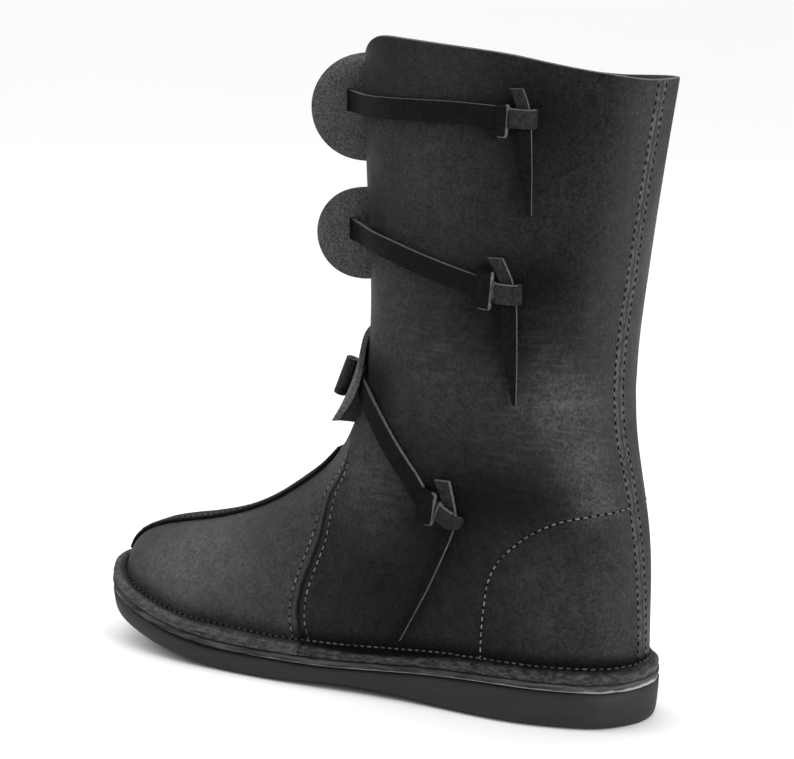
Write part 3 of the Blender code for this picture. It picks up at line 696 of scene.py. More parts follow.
def near_spot(side, station, height, size):
    """1 at a spot on the leather, falling off softly over a size in mm."""
    middle = upper_skin.find_nearest(spot(side * OFF_WALL, station, height))[0]
    gap = np.linalg.norm(upper_points - np.array(middle), axis=1) / (size * MM)
    return np.exp(-gap**2 * FALL_OFF)


for name in sorted({row[0] for row in WEAR_AND_PAINTED_LIGHT_PLACES}):
    tell(upper, name, np.max([near_spot(*row[1:]) for row in WEAR_AND_PAINTED_LIGHT_PLACES if row[0] == name], axis=0))
# one factor for the wax tone and the painted light and shade
wax = 1 + sum(amount * near_spot(side, *row) for side in SIDES for *row, amount in WAX_AND_PAINTED_LIGHT)
tell(upper, "wax", np.clip(wax, *WAX_AND_LIGHT_RANGE))
print("wax makes the leather", round(wax.min(), 2), "to", round(wax.max(), 2), "times as pale")

# %% [markdown]
# ## Leather finishes
#
# All grain leather here starts from one recipe: a waxy haze, lighter clouds where the wax has moved, grit,
# short marks across and along, and a fine pebble grain. A picture of leather would blur close up. Clouds of
# noise, sized in millimetres, stay crisp and have the same grain on every piece.

# %% Mix the base of every grain leather
CLOUDS = {
    # name: size, detail, roughness, where it begins, where it is full
    "haze": (46.0, 5.0, 0.6, 0.32, 0.68),
    "cloud": (7.0, 6.0, 0.75, 0.36, 0.64),
    "grit": (1.5, 4.0, 0.8, 0.36, 0.64),
}
MARK_SIZE = 1.5
MARK_BEND = 1.2
MARK_WAYS = [(0.22, 0.22, 1.0), (1.0, 1.0, 0.22)]
MARK_SPAN = (0.58, 0.76)
PATCH_SIZE = 22.0
PATCH_SPAN = (0.42, 0.66)
FOLD_SIZE = 1.8
FOLD_SPAN = (0.42, 0.8)
PEBBLE_SIZE = 1.2
IN_SHADE = {"haze": 0.4, "cloud": 0.5, "grit": 0.95, "marks": 0.6, "folds": -0.3}
IN_RELIEF = {"pebbles": 0.7, "grit": 0.9, "cloud": 0.9, "marks": -0.2, "folds": -0.7}
SHADE_FLOOR = 0.07
SHADE_MEAN = 1.1
GRAIN_DEPTH = 0.4


def leather_base(finish, tone, wear=1.0):
    """Tone, relief and haze of every grain-side leather; wear says how strongly its marks show."""
    parts = {}
    for name, (size, detail, roughness, begin, full) in CLOUDS.items():
        parts[name] = finish.rise(finish.noise(size, detail, roughness=roughness), begin, full)
    marks = [finish.noise(MARK_SIZE, along=way, bend=MARK_BEND) for way in MARK_WAYS]
    patch = finish.rise(finish.noise(PATCH_SIZE), *PATCH_SPAN)
    parts["marks"] = sum(finish.rise(mark, *MARK_SPAN) for mark in marks) * patch
    parts["folds"] = finish.rise(finish.pebbles(FOLD_SIZE), *FOLD_SPAN)
    parts["pebbles"] = finish.pebbles(PEBBLE_SIZE)
    pattern = SHADE_FLOOR + sum(weight * parts[name] for name, weight in IN_SHADE.items())
    relief = sum(weight * parts[name] for name, weight in IN_RELIEF.items())
    shade = tone * (SHADE_MEAN + (pattern - 1.0) * wear)
    return shade, finish.bump(relief, GRAIN_DEPTH), parts["haze"]


print("one leather recipe of", len(IN_SHADE), "tones and", len(IN_RELIEF), "reliefs")

# %% [markdown]
# The grain side of the upper is that recipe in charcoal, paler on the vamp, and the wax tone with its painted
# light and shade makes it paler or darker still. Over it lie the seams. Each is a band of the distance that the
# leather was told: painted shade in the groove, a painted highlight on the lip beside it, painted shade in the
# fold. The same bands sink or raise the relief, so tone and light agree.

# %% Mix the grain side of the upper
GRAIN_TONE = 0.0155
VAMP_TONE = 0.042
VAMP_TOP = 118.0
VAMP_FADE = 6.0
BANDS = {
    # name: where it begins and ends, in mm from its seam
    "on_vamp": (-1.5, 6.0), "back_band": (3.2, 5.6), "back_glow": (6.0, 36.0),
    "in_fold": (-2.6, -0.4), "above_fold": (1.0, 8.0), "flange": (-3.2, -1.2),
}
LINES = {
    # name: how far it lies off its seam, how far it wanders, its width, in mm
    "groove": (0.9, 2.0, 1.5), "lip": (-1.6, 1.5, 1.6), "back": (0.0, 1.6, 0.9), "counter": (0.0, 0.0, 0.9),
}
# how much further out, in mm, the painted fold shadow reaches at the waist
WAIST_SHADE_SHIFT = 2.6
SCUFF_SIZE = 12.0
SCUFF_WIDTH = 0.05
FADING = (1.0, 0.0)
# paler: painted highlights (gleam, lip, glow), and the paler back band and scuffs; darker: painted shade in the
# grooves and the fold
PALER_AND_PAINTED_LIGHT = {"gleam": 0.028, "band": 0.050, "lip": 0.022, "glow": 0.016, "scuffs": 0.008}
PAINTED_SHADE = {"groove": 0.9, "fold": 0.92, "back": 0.75, "counter": 0.35}
RAISED = {"rolls": 1.6, "groove": -1.3, "lip": 0.6, "back": -0.8, "counter": -0.5, "fibres": 1.6}
FIBRE_TONES = (0.003, 0.085)
SEAM_DEPTH = 0.7

hide = Finish("charcoal_leather")
vamp_gap, counter_gap, back_gap, fold_gap = [
    hide.told(name + "_gap") for name in ("vamp", "counter", "back", "fold")
]
ankle, heel, waist, told_wax_and_light = [hide.told(name) for name in ("ankle", "heel", "waist", "wax")]
height_here = hide.add("ShaderNodeSeparateXYZ", {}, {"Vector": hide.place}, "Z")
below_throat = hide.rise(height_here, VAMP_TOP, VAMP_TOP + VAMP_FADE, *FADING)
on_vamp = hide.rise(vamp_gap, *BANDS["on_vamp"]) * below_throat
# the wax tone with its painted light and shade scales the tone of the grain side
tone = (GRAIN_TONE + (VAMP_TONE - GRAIN_TONE) * on_vamp) * told_wax_and_light
wear = hide.rise(told_wax_and_light, 0.4, 1.2, 1.0, 0.75) * (1.0 - 0.25 * on_vamp)
shade, relief, haze = leather_base(hide, tone, wear)
rolls = hide.noise(5.5, 4.0, along=(0.35, 0.35, 2.2))
ragged = hide.noise(2.6, 3.0, roughness=0.7) - 0.5
hairs = hide.noise(SCUFF_SIZE, 3.0, along=(1.0, 1.0, 0.5)) - 0.5
scuffs = hide.line(hairs, SCUFF_WIDTH) * heel


def seam_line(gap, name):
    """A ragged line beside a seam, from its row in the table."""
    off, wander, width = LINES[name]
    return hide.line(gap + off + ragged * wander, width)


groove, lip = seam_line(vamp_gap, "groove"), seam_line(vamp_gap, "lip")
counter_edge = seam_line(counter_gap, "counter")
back_groove = seam_line(back_gap, "back") * hide.rise(ragged, -0.12, 0.06)
back_band = hide.rise(abs(back_gap), *BANDS["back_band"], *FADING)
# painted light: a glow on both sides of the back seam, where the heel light falls
back_glow = hide.rise(abs(back_gap), *BANDS["back_glow"], *FADING)
# painted shadow in the fold round the foot; at the waist it reaches further out over the flange
past_fold = fold_gap + WAIST_SHADE_SHIFT * waist
in_fold = hide.rise(past_fold, *BANDS["in_fold"]) * hide.rise(fold_gap, *BANDS["above_fold"], *FADING)
fold_shadow = in_fold * (1.0 - 0.4 * on_vamp)
flange = hide.rise(past_fold, *BANDS["flange"], *FADING)
fibres = hide.noise(2.0, 4.0, along=(0.4, 0.4, 1.6), roughness=0.8)

# painted highlight: the gleam at the ankle, along its fine rolls
shade = shade + PALER_AND_PAINTED_LIGHT["gleam"] * ankle * hide.rise(rolls, 0.45, 0.75)
# the paler back band; a painted highlight on the lip beside the vamp seam
shade = shade + PALER_AND_PAINTED_LIGHT["band"] * back_band * hide.rise(ragged, -0.14, 0.14) + PALER_AND_PAINTED_LIGHT["lip"] * lip
# painted light: the glow along the back; the scuffs are the leather's own
shade = shade + PALER_AND_PAINTED_LIGHT["glow"] * back_glow * (1.0 + 1.6 * ragged) + PALER_AND_PAINTED_LIGHT["scuffs"] * scuffs
# painted shade in the vamp groove and the fold, then in the back groove and along the counter seam
lit = 1 - hide.maths("MAXIMUM", groove * PAINTED_SHADE["groove"], fold_shadow * PAINTED_SHADE["fold"])
lit = lit * (1 - PAINTED_SHADE["back"] * back_groove) * (1 - PAINTED_SHADE["counter"] * counter_edge)
dark_fibre, pale_fibre = FIBRE_TONES
shade = shade * lit + flange * (dark_fibre + pale_fibre * hide.rise(fibres, 0.38, 0.68))
height = rolls * ankle * RAISED["rolls"] + groove * RAISED["groove"] + lip * RAISED["lip"]
height = height + back_groove * RAISED["back"] + counter_edge * RAISED["counter"]
height = height + back_band * (0.5 + ragged * 0.8) + flange * fibres * RAISED["fibres"]
relief = hide.bump(height, SEAM_DEPTH, relief)
hide.put(base_color=shade, roughness=0.36 + 0.25 * haze - 0.06 * ankle, normal=relief)
hide.put(specular_ior_level=0.08)
print("grain side:", len(hide.tree.nodes), "nodes")

# %% [markdown]
# Where leather has been cut or shows its flesh side, pale fibres stand among dark ones. A nap changes the
# tone where a hand has stroked the suede. One function serves the lining of the shaft, the tabs and every
# cut edge, because only size and tone differ.

# %% Mix the flesh side and the cut edges
FIBROUS = {
    # name: fibre size, crispness, darkest tone, tone added, where fibres show, depth, roughness, shine
    "suede_flesh_side": (0.75, 0.7, 0.014, 0.085, (0.42, 0.68), 0.35, 0.92, 0.15),
    "cut_leather_edge": (0.7, 0.7, 0.03, 0.11, (0.35, 0.7), 0.3, 0.85, 0.5),
    "strap_edge": (0.8, 0.7, 0.015, 0.10, (0.3, 0.7), 0.25, 0.8, 0.5),
    "tab_suede": (0.85, 0.8, 0.040, 0.12, (0.36, 0.68), 0.3, 0.95, 0.1),
}
NAPS = {
    # name: size, detail, least, swing
    "suede_flesh_side": (14.0, 3.0, 0.6, 0.7), "tab_suede": (20.0, 2.0, 0.7, 0.5),
}
FIBRE_DETAIL = 3.0


def fibrous(name):
    """Suede or a cut edge, from its row in the table."""
    size, crisp, dark, added, span, depth, roughness, shine = FIBROUS[name]
    finish = Finish(name)
    fibre = finish.noise(size, FIBRE_DETAIL, roughness=crisp)
    pale = added * finish.rise(fibre, *span)
    if name in NAPS:
        nap_size, detail, least, swing = NAPS[name]
        pale = pale * (least + swing * finish.noise(nap_size, detail))
    finish.put(base_color=dark + pale, roughness=roughness, normal=finish.bump(fibre, depth))
    finish.put(specular_ior_level=shine)
    return finish


flesh_leather = fibrous("suede_flesh_side")
cut_edge = fibrous("cut_leather_edge")
print("fibrous finishes:", list(FIBROUS))

# %% [markdown]
# Each face of the upper now takes one of the three finishes. Faces that look into the boot are flesh side.
# The rim of the collar and of the front flap are cut edges: there the leather looks neither in nor out. The
# skin has no separate parts to pick, so rays find out which way each face looks and how thick it is there.

# %% Dress the upper
RIM_SPAN = 3.6
RIM_FROM = 60.0
RIM_START = 0.05
RIM_LOOK = 100.0


def is_rim(places, normals):
    """True on the thin edge of the leather: straight behind the face there is far more than a wall."""
    rim = []
    for place, normal in zip(places, normals):
        way = -Vector(normal)
        hit, _, _, depth = upper_skin.ray_cast(Vector(place) + way * (RIM_START * MM), way, RIM_LOOK * MM)
        rim.append(hit is None or depth > RIM_SPAN * MM)
    return np.array(rim)


centres = read_off(upper.data.polygons, "center")
face_normals = read_off(upper.data.polygons, "normal")
faces_inward = looks_inward(centres, face_normals)
faces_rim = is_rim(centres, face_normals)
choice = np.where(faces_rim & (centres[:, 2] > RIM_FROM * MM), 2, np.where(faces_inward, 1, 0))
dress(upper, (hide, flesh_leather, cut_edge), choice.astype(np.int32))
keep(upper, "upper_leather", "upper")
print("faces: grain", (choice == 0).sum(), "flesh", (choice == 1).sum(), "edge", (choice == 2).sum())

# %% [markdown]
# ## Sewing
#
# Every row of stitches is the same job: walk along a line at an even pitch, lay a short thread, and prick a
# hole between two threads. Setting hundreds of them by hand would be slow, so a Geometry Nodes tree does it
# for any line. The line carries the direction that stands off the leather, so that each thread lies flat.

# %% Build the sewing tree
SEWING = [
    # name, kind
    ("Line", "Geometry"), ("Pitch", "Float"), ("Length", "Float"), ("Thickness", "Float"),
    ("Hole", "Float"), ("Seed", "Int"), ("Thread Finish", "Material"), ("Hole Finish", "Material"),
]
THREAD_SEGMENTS = 8
THREAD_RINGS = 5
UNEVEN = (0.8, 1.15)
HOLE_LONG = 1.5
HOLE_DEEP = 0.5

sewing = bpy.data.node_groups.new("sewing", "GeometryNodeTree")
for name, kind in SEWING:
    sewing.interface.new_socket(name, in_out="INPUT", socket_type="NodeSocket" + kind)
sewing.interface.new_socket("Sewn", in_out="OUTPUT", socket_type="NodeSocketGeometry")
sew = Graph(sewing)
sockets = sewing.nodes.new("NodeGroupInput").outputs
given = {name: Wire(sew, sockets[name]) for name, _ in SEWING}
line = sew.add("GeometryNodeMeshToCurve", {}, {"Mesh": given["Line"]})
even = sew.add("GeometryNodeResampleCurve", {"mode": "LENGTH"}, {"Curve": line, "Length": given["Pitch"]})
off_leather = sew.add("GeometryNodeInputNamedAttribute", {"data_type": "FLOAT_VECTOR"}, {"Name": "off"})
ahead = sew.add("GeometryNodeInputTangent")
flat = sew.add("FunctionNodeAlignRotationToVector", {"axis": "Z"}, {"Vector": off_leather})
turned = sew.add(
    "FunctionNodeAlignRotationToVector", {"axis": "X", "pivot_axis": "Z"}, {"Rotation": flat, "Vector": ahead}
)
bead = sew.add(
    "GeometryNodeMeshUVSphere", {}, {"Segments": THREAD_SEGMENTS, "Rings": THREAD_RINGS, "Radius": 0.5}
)
bead = sew.add("GeometryNodeSetShadeSmooth", {}, {"Geometry": bead})
least, most = UNEVEN
uneven = sew.add(
    "FunctionNodeRandomValue", {"data_type": "FLOAT"}, {2: least, 3: most, "Seed": given["Seed"]}, 1
)
thread_size = sew.add(
    "ShaderNodeCombineXYZ", {}, {0: given["Length"] * uneven, 1: given["Thickness"], 2: given["Thickness"]}
)
hole = given["Hole"]
hole_size = sew.add("ShaderNodeCombineXYZ", {}, {0: hole * uneven * HOLE_LONG, 1: hole, 2: hole * HOLE_DEEP})
half_pitch = given["Pitch"] * 0.5
half_step = sew.add("ShaderNodeVectorMath", {"operation": "SCALE"}, {0: ahead, "Scale": half_pitch})
between = sew.add("GeometryNodeSetPosition", {}, {"Geometry": even, "Offset": half_step})


def beads(points, size, finish):
    placed = sew.add(
        "GeometryNodeInstanceOnPoints", {},
        {"Points": points, "Instance": bead, "Rotation": turned, "Scale": size},
    )
    real = sew.add("GeometryNodeRealizeInstances", {}, {"Geometry": placed})
    return sew.add("GeometryNodeSetMaterial", {}, {"Geometry": real, "Material": finish})


threads = beads(even, thread_size, given["Thread Finish"])
holes = beads(between, hole_size, given["Hole Finish"])
joined = sewing.nodes.new("GeometryNodeJoinGeometry")
for part in (threads, holes):
    sewing.links.new(part.socket, joined.inputs[0])
sewing.links.new(joined.outputs[0], sewing.nodes.new("NodeGroupOutput").inputs[0])
print("sewing tree:", len(sewing.nodes), "nodes")

# %% [markdown]
# Waxed thread is pale where it has been rubbed and dark elsewhere. So there are four tones of it: pale on
# the vamp and counter seams, middling at the back, dark in the fold at the heel, and black in the fold round
# the vamp; these two are darker partly as painted shade of the fold. Each also varies along its row. The
# pricked holes are plain black, with a little dust: painted shade inside each hole.

# %% Sew the seams
VAMP_FROM = 165.0

fold_station = MIDDLE_STATION - fold_line[:, 1] / MM
first_heel = np.flatnonzero(fold_station > VAMP_FROM)[-1] + 1
fold_order = np.roll(np.arange(len(fold_line)), -first_heel)
in_vamp = fold_station[fold_order] > VAMP_FROM
vamp_fold = fold_line[fold_order[in_vamp]], fold_out[fold_order[in_vamp]]
heel_fold = fold_line[fold_order[~in_vamp]], fold_out[fold_order[~in_vamp]]
SEAMS = [
    # name, rows, pitch, thread length, thickness, hole, thread, seed
    ("vamp_stitches", vamp_rows, 3.9, 2.9, 0.75, 1.0, "pale", 3),
    ("counter_stitches", counter_rows, 3.7, 2.7, 0.85, 1.2, "pale", 5),
    ("back_stitches", back_rows, 3.8, 1.8, 0.6, 1.5, "middling", 7),
    ("heel_fold_stitches", [heel_fold], 3.7, 2.8, 0.9, 1.2, "dark", 9),
    ("vamp_fold_stitches", [vamp_fold], 3.7, 2.4, 0.8, 1.3, "black", 13),
]
# dark and black are the threads in the fold, their tones partly painted shade of the fold
THREAD_TONES = {"pale": 0.095, "middling": 0.07, "dark": 0.032, "black": 0.012}
SINK = 0.05

thread_finishes = {}
for name, tone in THREAD_TONES.items():
    thread = Finish(name + "_thread")
    twist = thread.noise(0.5, 2.0)
    rubbed = thread.noise(9.0, 2.0)
    thread.put(base_color=tone * (0.6 * twist + 1.6 * thread.rise(rubbed, 0.3, 0.7)), roughness=0.75)
    thread.put(normal=thread.bump(twist, 0.15))
    thread_finishes[name] = thread.material
# the pricked holes are black beads: painted shade inside each hole, with a little dust
hole_shade = Finish("pricked_hole")
hole_shade.put(base_color=0.002 + 0.003 * hole_shade.noise(2.0), roughness=0.95, specular_ior_level=0.05)


def sewn(name, rows, pitch, length, thickness, hole, thread, seed):
    """Stitches along several rows of places and normals, as one plain piece."""
    places, normals, edges = [], [], []
    for row_places, row_normals in rows:
        first = len(places)
        places += [Vector(p) - Vector(n) * (SINK * MM) for p, n in zip(row_places, row_normals)]
        normals += [tuple(n) for n in row_normals]
        edges += [(i, i + 1) for i in range(first, len(places) - 1)]
    piece = new_piece(name, [], [])
    piece.data.from_pydata(places, edges, [])
    off = piece.data.attributes.new("off", "FLOAT_VECTOR", "POINT")
    off.data.foreach_set("vector", np.array(normals, np.float32).ravel())
    modifier = piece.modifiers.new("sewing", "NODES")
    modifier.node_group = sewing
    values = {
        "Pitch": pitch * MM, "Length": length * MM, "Thickness": thickness * MM, "Hole": hole * MM,
        "Seed": seed, "Thread Finish": thread_finishes[thread], "Hole Finish": hole_shade.material,
    }
    for item in sewing.interface.items_tree:
        if item.name in values:
            modifier[item.identifier] = values[item.name]
    settle(piece)
    keep(piece, "upper_leather")


for seam in SEAMS:
    sewn(*seam)

# %% [markdown]
# ## Straps, knots and strip
#
# The straps are cut from dark leather, and the wraps of the knots are paler. All of them, the strip on the
# vamp and the toggles are the same recipe in other tones, so one function mixes them.

# %% Mix the dyed leathers
DYED = {
    # name: tone, roughness, shine
    "strap_leather": (0.0042, 0.5, 0.06), "knot_leather": (0.016, 0.45, 0.12),
    "strip_leather": (0.009, 0.5, 0.10), "toggle_leather": (0.026, 0.5, 0.10),
}
HAZE_DULLS = 0.2


def dyed(name):
    """A plain leather, from its row in the table."""
    tone, roughness, shine = DYED[name]
    finish = Finish(name)
    shade, relief, haze = leather_base(finish, tone)
    finish.put(base_color=shade, roughness=roughness + HAZE_DULLS * haze, normal=relief)
    finish.put(specular_ior_level=shine)
    return finish


strap_leather = dyed("strap_leather")
knot_leather = dyed("knot_leather")
strap_edge = fibrous("strap_edge")
print("dyed leathers:", list(DYED))

# %% [markdown]
# A strap's thin sides are pale where they have been rubbed, but only the sides that look towards the lights get
# the pale finish, so it is partly painted light. A face that stands square to the leather below it is such a
# side.
# The strap's end runs on under the wrap of its knot. A rope simulation could tie the knots, but would not stop
# at the photographed shape, so the imported wraps are turned, tapered and lengthened.

# %% Trim, tuck and turn
SQUARE = 0.85
SHARP = 40.0
WORN_EDGE = 0.45
WORN_SEGMENTS = 2
END_SPAN = 3.0
TUCK = 0.8
RUBBED_AND_LIT = {
    # kind of piece: which way its pale rubbed edges look, towards the lights, so they are partly painted light
    "strap": Vector((0.0, 0.8, 0.6)), "tail": Vector((0.0, 0.8, 0.6)),
    "loop": Vector((0.0, 1.0, -0.4)), "band": Vector((0.0, -0.5, 0.9)),
}
RUBBED_AND_LIT_FROM = 0.2


def edge_choice(piece):
    """1 for the thin sides of a piece that look towards the lights, pale as rubbed and lit, 0 elsewhere."""
    rubbed = RUBBED_AND_LIT.get(piece.name.split("_")[0], Vector())
    picked = []
    for polygon in piece.data.polygons:
        near = upper_skin.find_nearest(polygon.center)[1]
        thin = abs(near.dot(polygon.normal)) < SQUARE
        picked.append(int(thin and polygon.normal.dot(rubbed) > RUBBED_AND_LIT_FROM))
    return picked


def trimmed(piece, faces, edge):
    """Gives a strap a narrow worn bevel along every cut edge, and its two finishes."""
    bevel = piece.modifiers.new("worn_edge", "BEVEL")
    bevel.width = WORN_EDGE * MM
    bevel.segments = WORN_SEGMENTS
    bevel.limit_method = "ANGLE"
    bevel.angle_limit = math.radians(SHARP)
    settle(piece)
    piece.data.shade_smooth()
    dress(piece, (faces, edge), edge_choice(piece))


def tucked(piece, under):
    """Lets the end of a strap run on under the wrap of its knot."""
    spots = points_of(piece.data)
    low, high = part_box(under)
    goal = np.array((low + high) / 2)
    away = np.linalg.norm(spots - goal, axis=1)
    end = spots[away < away.min() + END_SPAN * MM].mean(axis=0)
    way = (goal - end) / np.linalg.norm(goal - end)
    moves = (spots - end) @ way > -END_SPAN / 2 * MM
    spots[moves] += (goal - end) * TUCK
    move_points(piece.data, spots)


def wall_side(point):
    """How far out the leather lies at the station and height of a point."""
    place = upper_skin.ray_cast(Vector((FAR * MM, point[1], point[2])), Vector((-1, 0, 0)))[0]
    return place.x if place is not None else point[0]


def reshaped(piece, tilt, taper, longer):
    """Turns a wrap on the leather, draws it in towards its heel end and lengthens its toe end."""
    spots = points_of(piece.data)
    middle = (spots.min(0) + spots.max(0)) / 2
    lift = spots[:, 0] - [wall_side(point) for point in spots]
    back, rise = spots[:, 1] - middle[1], spots[:, 2] - middle[2]
    rise = rise * (1 - taper * np.clip(back / back.max(), 0.0, 1.0) ** 2)
    back = back - longer * MM * np.clip(back / back.min(), 0.0, 1.0)
    turn = math.radians(tilt)
    spots[:, 1] = middle[1] + back * math.cos(turn) + rise * math.sin(turn)
    spots[:, 2] = middle[2] + rise * math.cos(turn) - back * math.sin(turn)
    spots[:, 0] = lift + [wall_side(point) for point in spots]
    move_points(piece.data, spots)


# %% [markdown]
# Now each strap, wrap and tail is rounded, shaped and dressed. Straps and tails keep crisp edges, the wraps
# are softer. A tail is paler above its wrap, where it belongs to the knot.

# %% Dress the straps and knots
PLACES = ("top", "middle", "bottom")
STRAP_LEVELS = 2
CRISP, SOFT = 1.0, 0.3
HOLDS = {"strap": CRISP, "loop": SOFT, "band": SOFT, "tail": CRISP}
KNOT_TURNS = {
    # wrap: tilt towards the heel in degrees, how far its heel end is drawn in, mm added at its toe end
    "band_bottom": (26.0, 0.5, 2.2), "loop_bottom": (14.0, 0.1, -0.6), "band_middle": (4.0, 0.0, 2.0),
    "loop_middle": (8.0, 0.0, -0.6), "band_top": (3.0, 0.0, 2.8), "loop_top": (6.0, 0.0, -0.4),
}

for kind, hold in HOLDS.items():
    for place in PLACES:
        node = f"{kind}_{place}"
        piece = rounded(node + "_leather", node, STRAP_LEVELS, SHARP, hold)
        if kind == "strap":
            tucked(piece, "loop_" + place)
        if node in KNOT_TURNS:
            reshaped(piece, *KNOT_TURNS[node])
        trimmed(piece, knot_leather if kind == "band" else strap_leather, strap_edge)
        if kind == "tail":
            dress(piece, (knot_leather,))
            low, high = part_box(node.replace("tail", "band"))
            for polygon in piece.data.polygons:
                if polygon.material_index == 0 and polygon.center.z > (low.z + high.z) / 2:
                    polygon.material_index = 2
        keep(piece, "strap_leather", node)

# %% [markdown]
# A strip covers the top of the vamp. It is pressed a little closer to the leather than its solid lies, and
# sewn down along both edges. Rays from above find these edges, and the rows run a little inside them.

# %% Lay the strip and sew it down
STRIP_PRESS = 0.7
STRIP_STATIONS = (160.0, 296.0)
STRIP_SIDES = (-30.0, 30.0)
STATION_STEP = 2.0
SIDE_STEP = 0.4
STRIP_INSET = 2.3
DOWN = (0, 0, -1)
STRIP_SEWING = (3.9, 2.4, 0.8, 1.3, "middling", 11)

strip_leather = dyed("strip_leather")
strip = rounded("vamp_strip_leather", "vamp_strip", STRAP_LEVELS, SHARP, CRISP)
strip_points = points_of(strip.data)
for index, point in enumerate(strip_points):
    under = upper_skin.find_nearest(Vector(point))[0]
    strip_points[index] = under + (Vector(point) - under) * STRIP_PRESS
move_points(strip.data, strip_points)
trimmed(strip, strip_leather, strip_leather)
keep(strip, "strip_leather", "vamp_strip")
strip_skin = skin_of(strip.data)


def strip_row(outward):
    """A row just inside one edge of the strip."""
    starts = []
    for station in np.arange(*STRIP_STATIONS, STATION_STEP):
        for side in np.arange(*STRIP_SIDES, SIDE_STEP)[:: -1 if outward > 0 else 1]:
            if len(cast(strip_skin, [spot(side, station, FAR)], DOWN)[0]):
                starts.append(spot(side - outward * STRIP_INSET, station, FAR))
                break
    return cast(strip_skin, starts, DOWN)


sewn("strip_stitches", [strip_row(side) for side in SIDES], *STRIP_SEWING)

# %% [markdown]
# ## Tabs and toggles
#
# The tabs are tongues of the inner flap turned out, so they show their flesh side. Their roots are moved in
# by a hair to meet the flap without a gap.

# %% Dress the tabs
TAB_MEET = 0.9
TAB_ROOT = 1.5

tab_suede = fibrous("tab_suede")
for place in PLACES:
    node = "tab_" + place
    piece = rounded(node + "_suede", node, STRAP_LEVELS, SHARP, CRISP)
    spots = points_of(piece.data)
    root = spots[:, 0] < spots[:, 0].min() + TAB_ROOT * MM
    spots[root, 0] -= TAB_MEET * MM
    move_points(piece.data, spots)
    trimmed(piece, tab_suede, tab_suede)
    keep(piece, "tab_leather", node)

# %% [markdown]
# Each toggle is a strip of leather rolled up tight, and the roll shows at its ends. A plain rod with a
# painted spiral would look flat there, so the sheet is really wound: an outer and an inner skin follow the
# same spiral, one sheet apart, and side walls close them.

# %% Roll the toggles
TURNS = 2.3
ROLL_STEPS = 40
ROLL_LENGTHS = 8
ROLL_SWELL = 1.1
ROLL_CORE = 0.28
ROLL_BEVEL = 0.2
SHEET_SHARE = 0.86
SHEET_END = 0.25
SHEET_GROWS = 4
UPRIGHT = 0.9

toggle_leather = dyed("toggle_leather")


def rolled(name, node):
    """A sheet rolled up inside the size of a packed toggle."""
    spots = points_of(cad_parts[node].data)
    middle = (spots.min(0) + spots.max(0)) / 2
    axis = np.linalg.svd(spots - spots.mean(0), full_matrices=False)[2][0]
    length = np.ptp((spots - middle) @ axis)
    across = np.cross(axis, (0.0, 0.0, 1.0) if abs(axis[2]) < UPRIGHT else (1.0, 0.0, 0.0))
    across /= np.linalg.norm(across)
    third = np.cross(axis, across)
    radius = np.abs((spots - middle) @ third).max() * ROLL_SWELL
    pitch = (radius - ROLL_CORE * radius) / TURNS
    corners, faces = [], []
    row = ROLL_STEPS + 1
    ring = 2 * row
    turns = np.linspace(0.0, TURNS, row)[:, None]
    thick = np.minimum(1.0, (TURNS - turns) * SHEET_GROWS + SHEET_END)
    way = across * np.cos(turns * math.tau) + third * np.sin(turns * math.tau)
    for level in np.linspace(-0.5, 0.5, ROLL_LENGTHS + 1):
        for layer in (0.0, SHEET_SHARE):
            corners += list(middle + axis * length * level + (radius - pitch * (turns + layer * thick)) * way)
    for level in range(ROLL_LENGTHS):
        for a in range(level * ring, level * ring + ROLL_STEPS):
            b = a + row
            faces += [(a, a + 1, a + ring + 1, a + ring), (b + 1, b, b + ring, b + ring + 1)]
        first, last = level * ring, level * ring + ROLL_STEPS
        faces.append((first, first + ring, first + row + ring, first + row))
        faces.append((last + row, last + row + ring, last + ring, last))
    for a in range(ROLL_STEPS):
        b, c = a + row, a + ROLL_LENGTHS * ring
        faces += [(a + 1, a, b, b + 1), (c, c + 1, c + row + 1, c + row)]
    piece = new_piece(name, corners, faces)
    bm = bmesh.new()
    bm.from_mesh(piece.data)
    bmesh.ops.recalc_face_normals(bm, faces=bm.faces)
    bm.to_mesh(piece.data)
    bm.free()
    bevel = piece.modifiers.new("worn_edge", "BEVEL")
    bevel.width = ROLL_BEVEL * MM
    bevel.limit_method = "ANGLE"
    settle(piece)
    ends = [int(abs(polygon.normal.dot(Vector(axis))) > SQUARE) for polygon in piece.data.polygons]
    dress(piece, (toggle_leather, strap_edge), ends)
    return piece


for place in PLACES:
    keep(rolled(f"toggle_{place}_roll", "toggle_" + place), "toggle_leather", "toggle_" + place)

# %% [markdown]
# ## The sole
#
# The outsole is black rubber, moulded in one with its low heel. Its solid already has the shape, so it only
# needs rounding, faint streaks and some dust.

# %% Dress the outsole
SOLE_SHARP = 45.0
SOLE_LEVELS = 2
RUBBER_TONE = 0.004

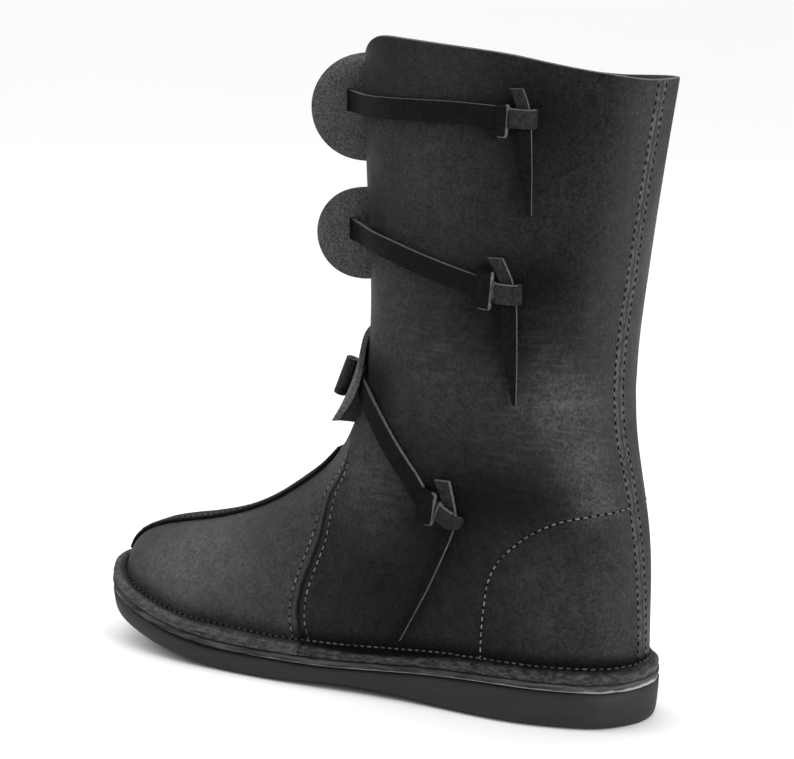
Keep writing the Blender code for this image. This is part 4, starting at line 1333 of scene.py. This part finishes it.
rubber = Finish("black_rubber")
streaks = rubber.noise(9.0, 4.0, along=(0.4, 0.4, 3.0))
dust = rubber.noise(30.0, 3.0)
rubber.put(base_color=RUBBER_TONE + 0.010 * streaks + 0.008 * dust, roughness=0.55 + 0.2 * dust)
rubber.put(normal=rubber.bump(streaks + 0.4 * rubber.noise(0.8), 0.25), specular_ior_level=0.3)

outsole = rounded("outsole_rubber", "outsole", SOLE_LEVELS, SOLE_SHARP, 0.85)
dress(outsole, (rubber,))
keep(outsole, "sole_rubber", "outsole")

# %% [markdown]
# The midsole is leather, and its rough edge shows as a band with a pale worn line low down. It was cut by
# hand like the flange above it, so it takes the same noise. The worn line follows the rubber: each point is
# told how far it lies from the outsole, and the line wanders about there. Inside lies a plain leather sock.

# %% Dress the midsole and the sock
MIDSOLE_TONE = 0.020
LAYER_TONE = 0.055
LINE_TONE = 0.28
LINE_WANDER = 2.2
LINE_WIDTH = 1.4
SOCK_LEVELS = 1
SOLE_HOLD = 0.9

midsole = rounded("midsole_edge", "midsole", SOLE_LEVELS, SOLE_SHARP, SOLE_HOLD)
midsole_points = points_of(midsole.data)
midsole_points += ragged_by(midsole_points, read_off(midsole.data.vertices, "normal"))
move_points(midsole.data, midsole_points)
outsole_skin = skin_of(outsole.data)
gaps = [outsole_skin.find_nearest(Vector(point))[3] / MM for point in points_of(midsole.data)]
tell(midsole, "above_rubber", gaps)
layered = Finish("midsole_leather")
wander = layered.told("above_rubber") - LINE_WANDER * layered.noise(7.0, 4.0)
layers = layered.noise(4.0, 3.0, along=(0.25, 0.25, 3.0))
worn_line = layered.line(wander, LINE_WIDTH) * layered.rise(layered.noise(23.0), 0.2, 0.45)
edge_tone = MIDSOLE_TONE + LAYER_TONE * layered.rise(layers, 0.3, 0.75) + LINE_TONE * worn_line
layered.put(base_color=edge_tone, roughness=0.85)
layered.put(normal=layered.bump(layers, 0.4), specular_ior_level=0.1)
dress(midsole, (layered,))
keep(midsole, "midsole_leather", "midsole")

sock = Finish("sock_leather")
sock_tone = 0.03 + 0.05 * sock.noise(30.0, 3.0)
sock.put(base_color=sock_tone, roughness=0.8, normal=sock.bump(sock.noise(1.0, 2.0), 0.15))
insole = rounded("insole_sock", "insole", SOCK_LEVELS, SOLE_SHARP, SOLE_HOLD)
dress(insole, (sock,))
keep(insole, "insole_leather", "insole")
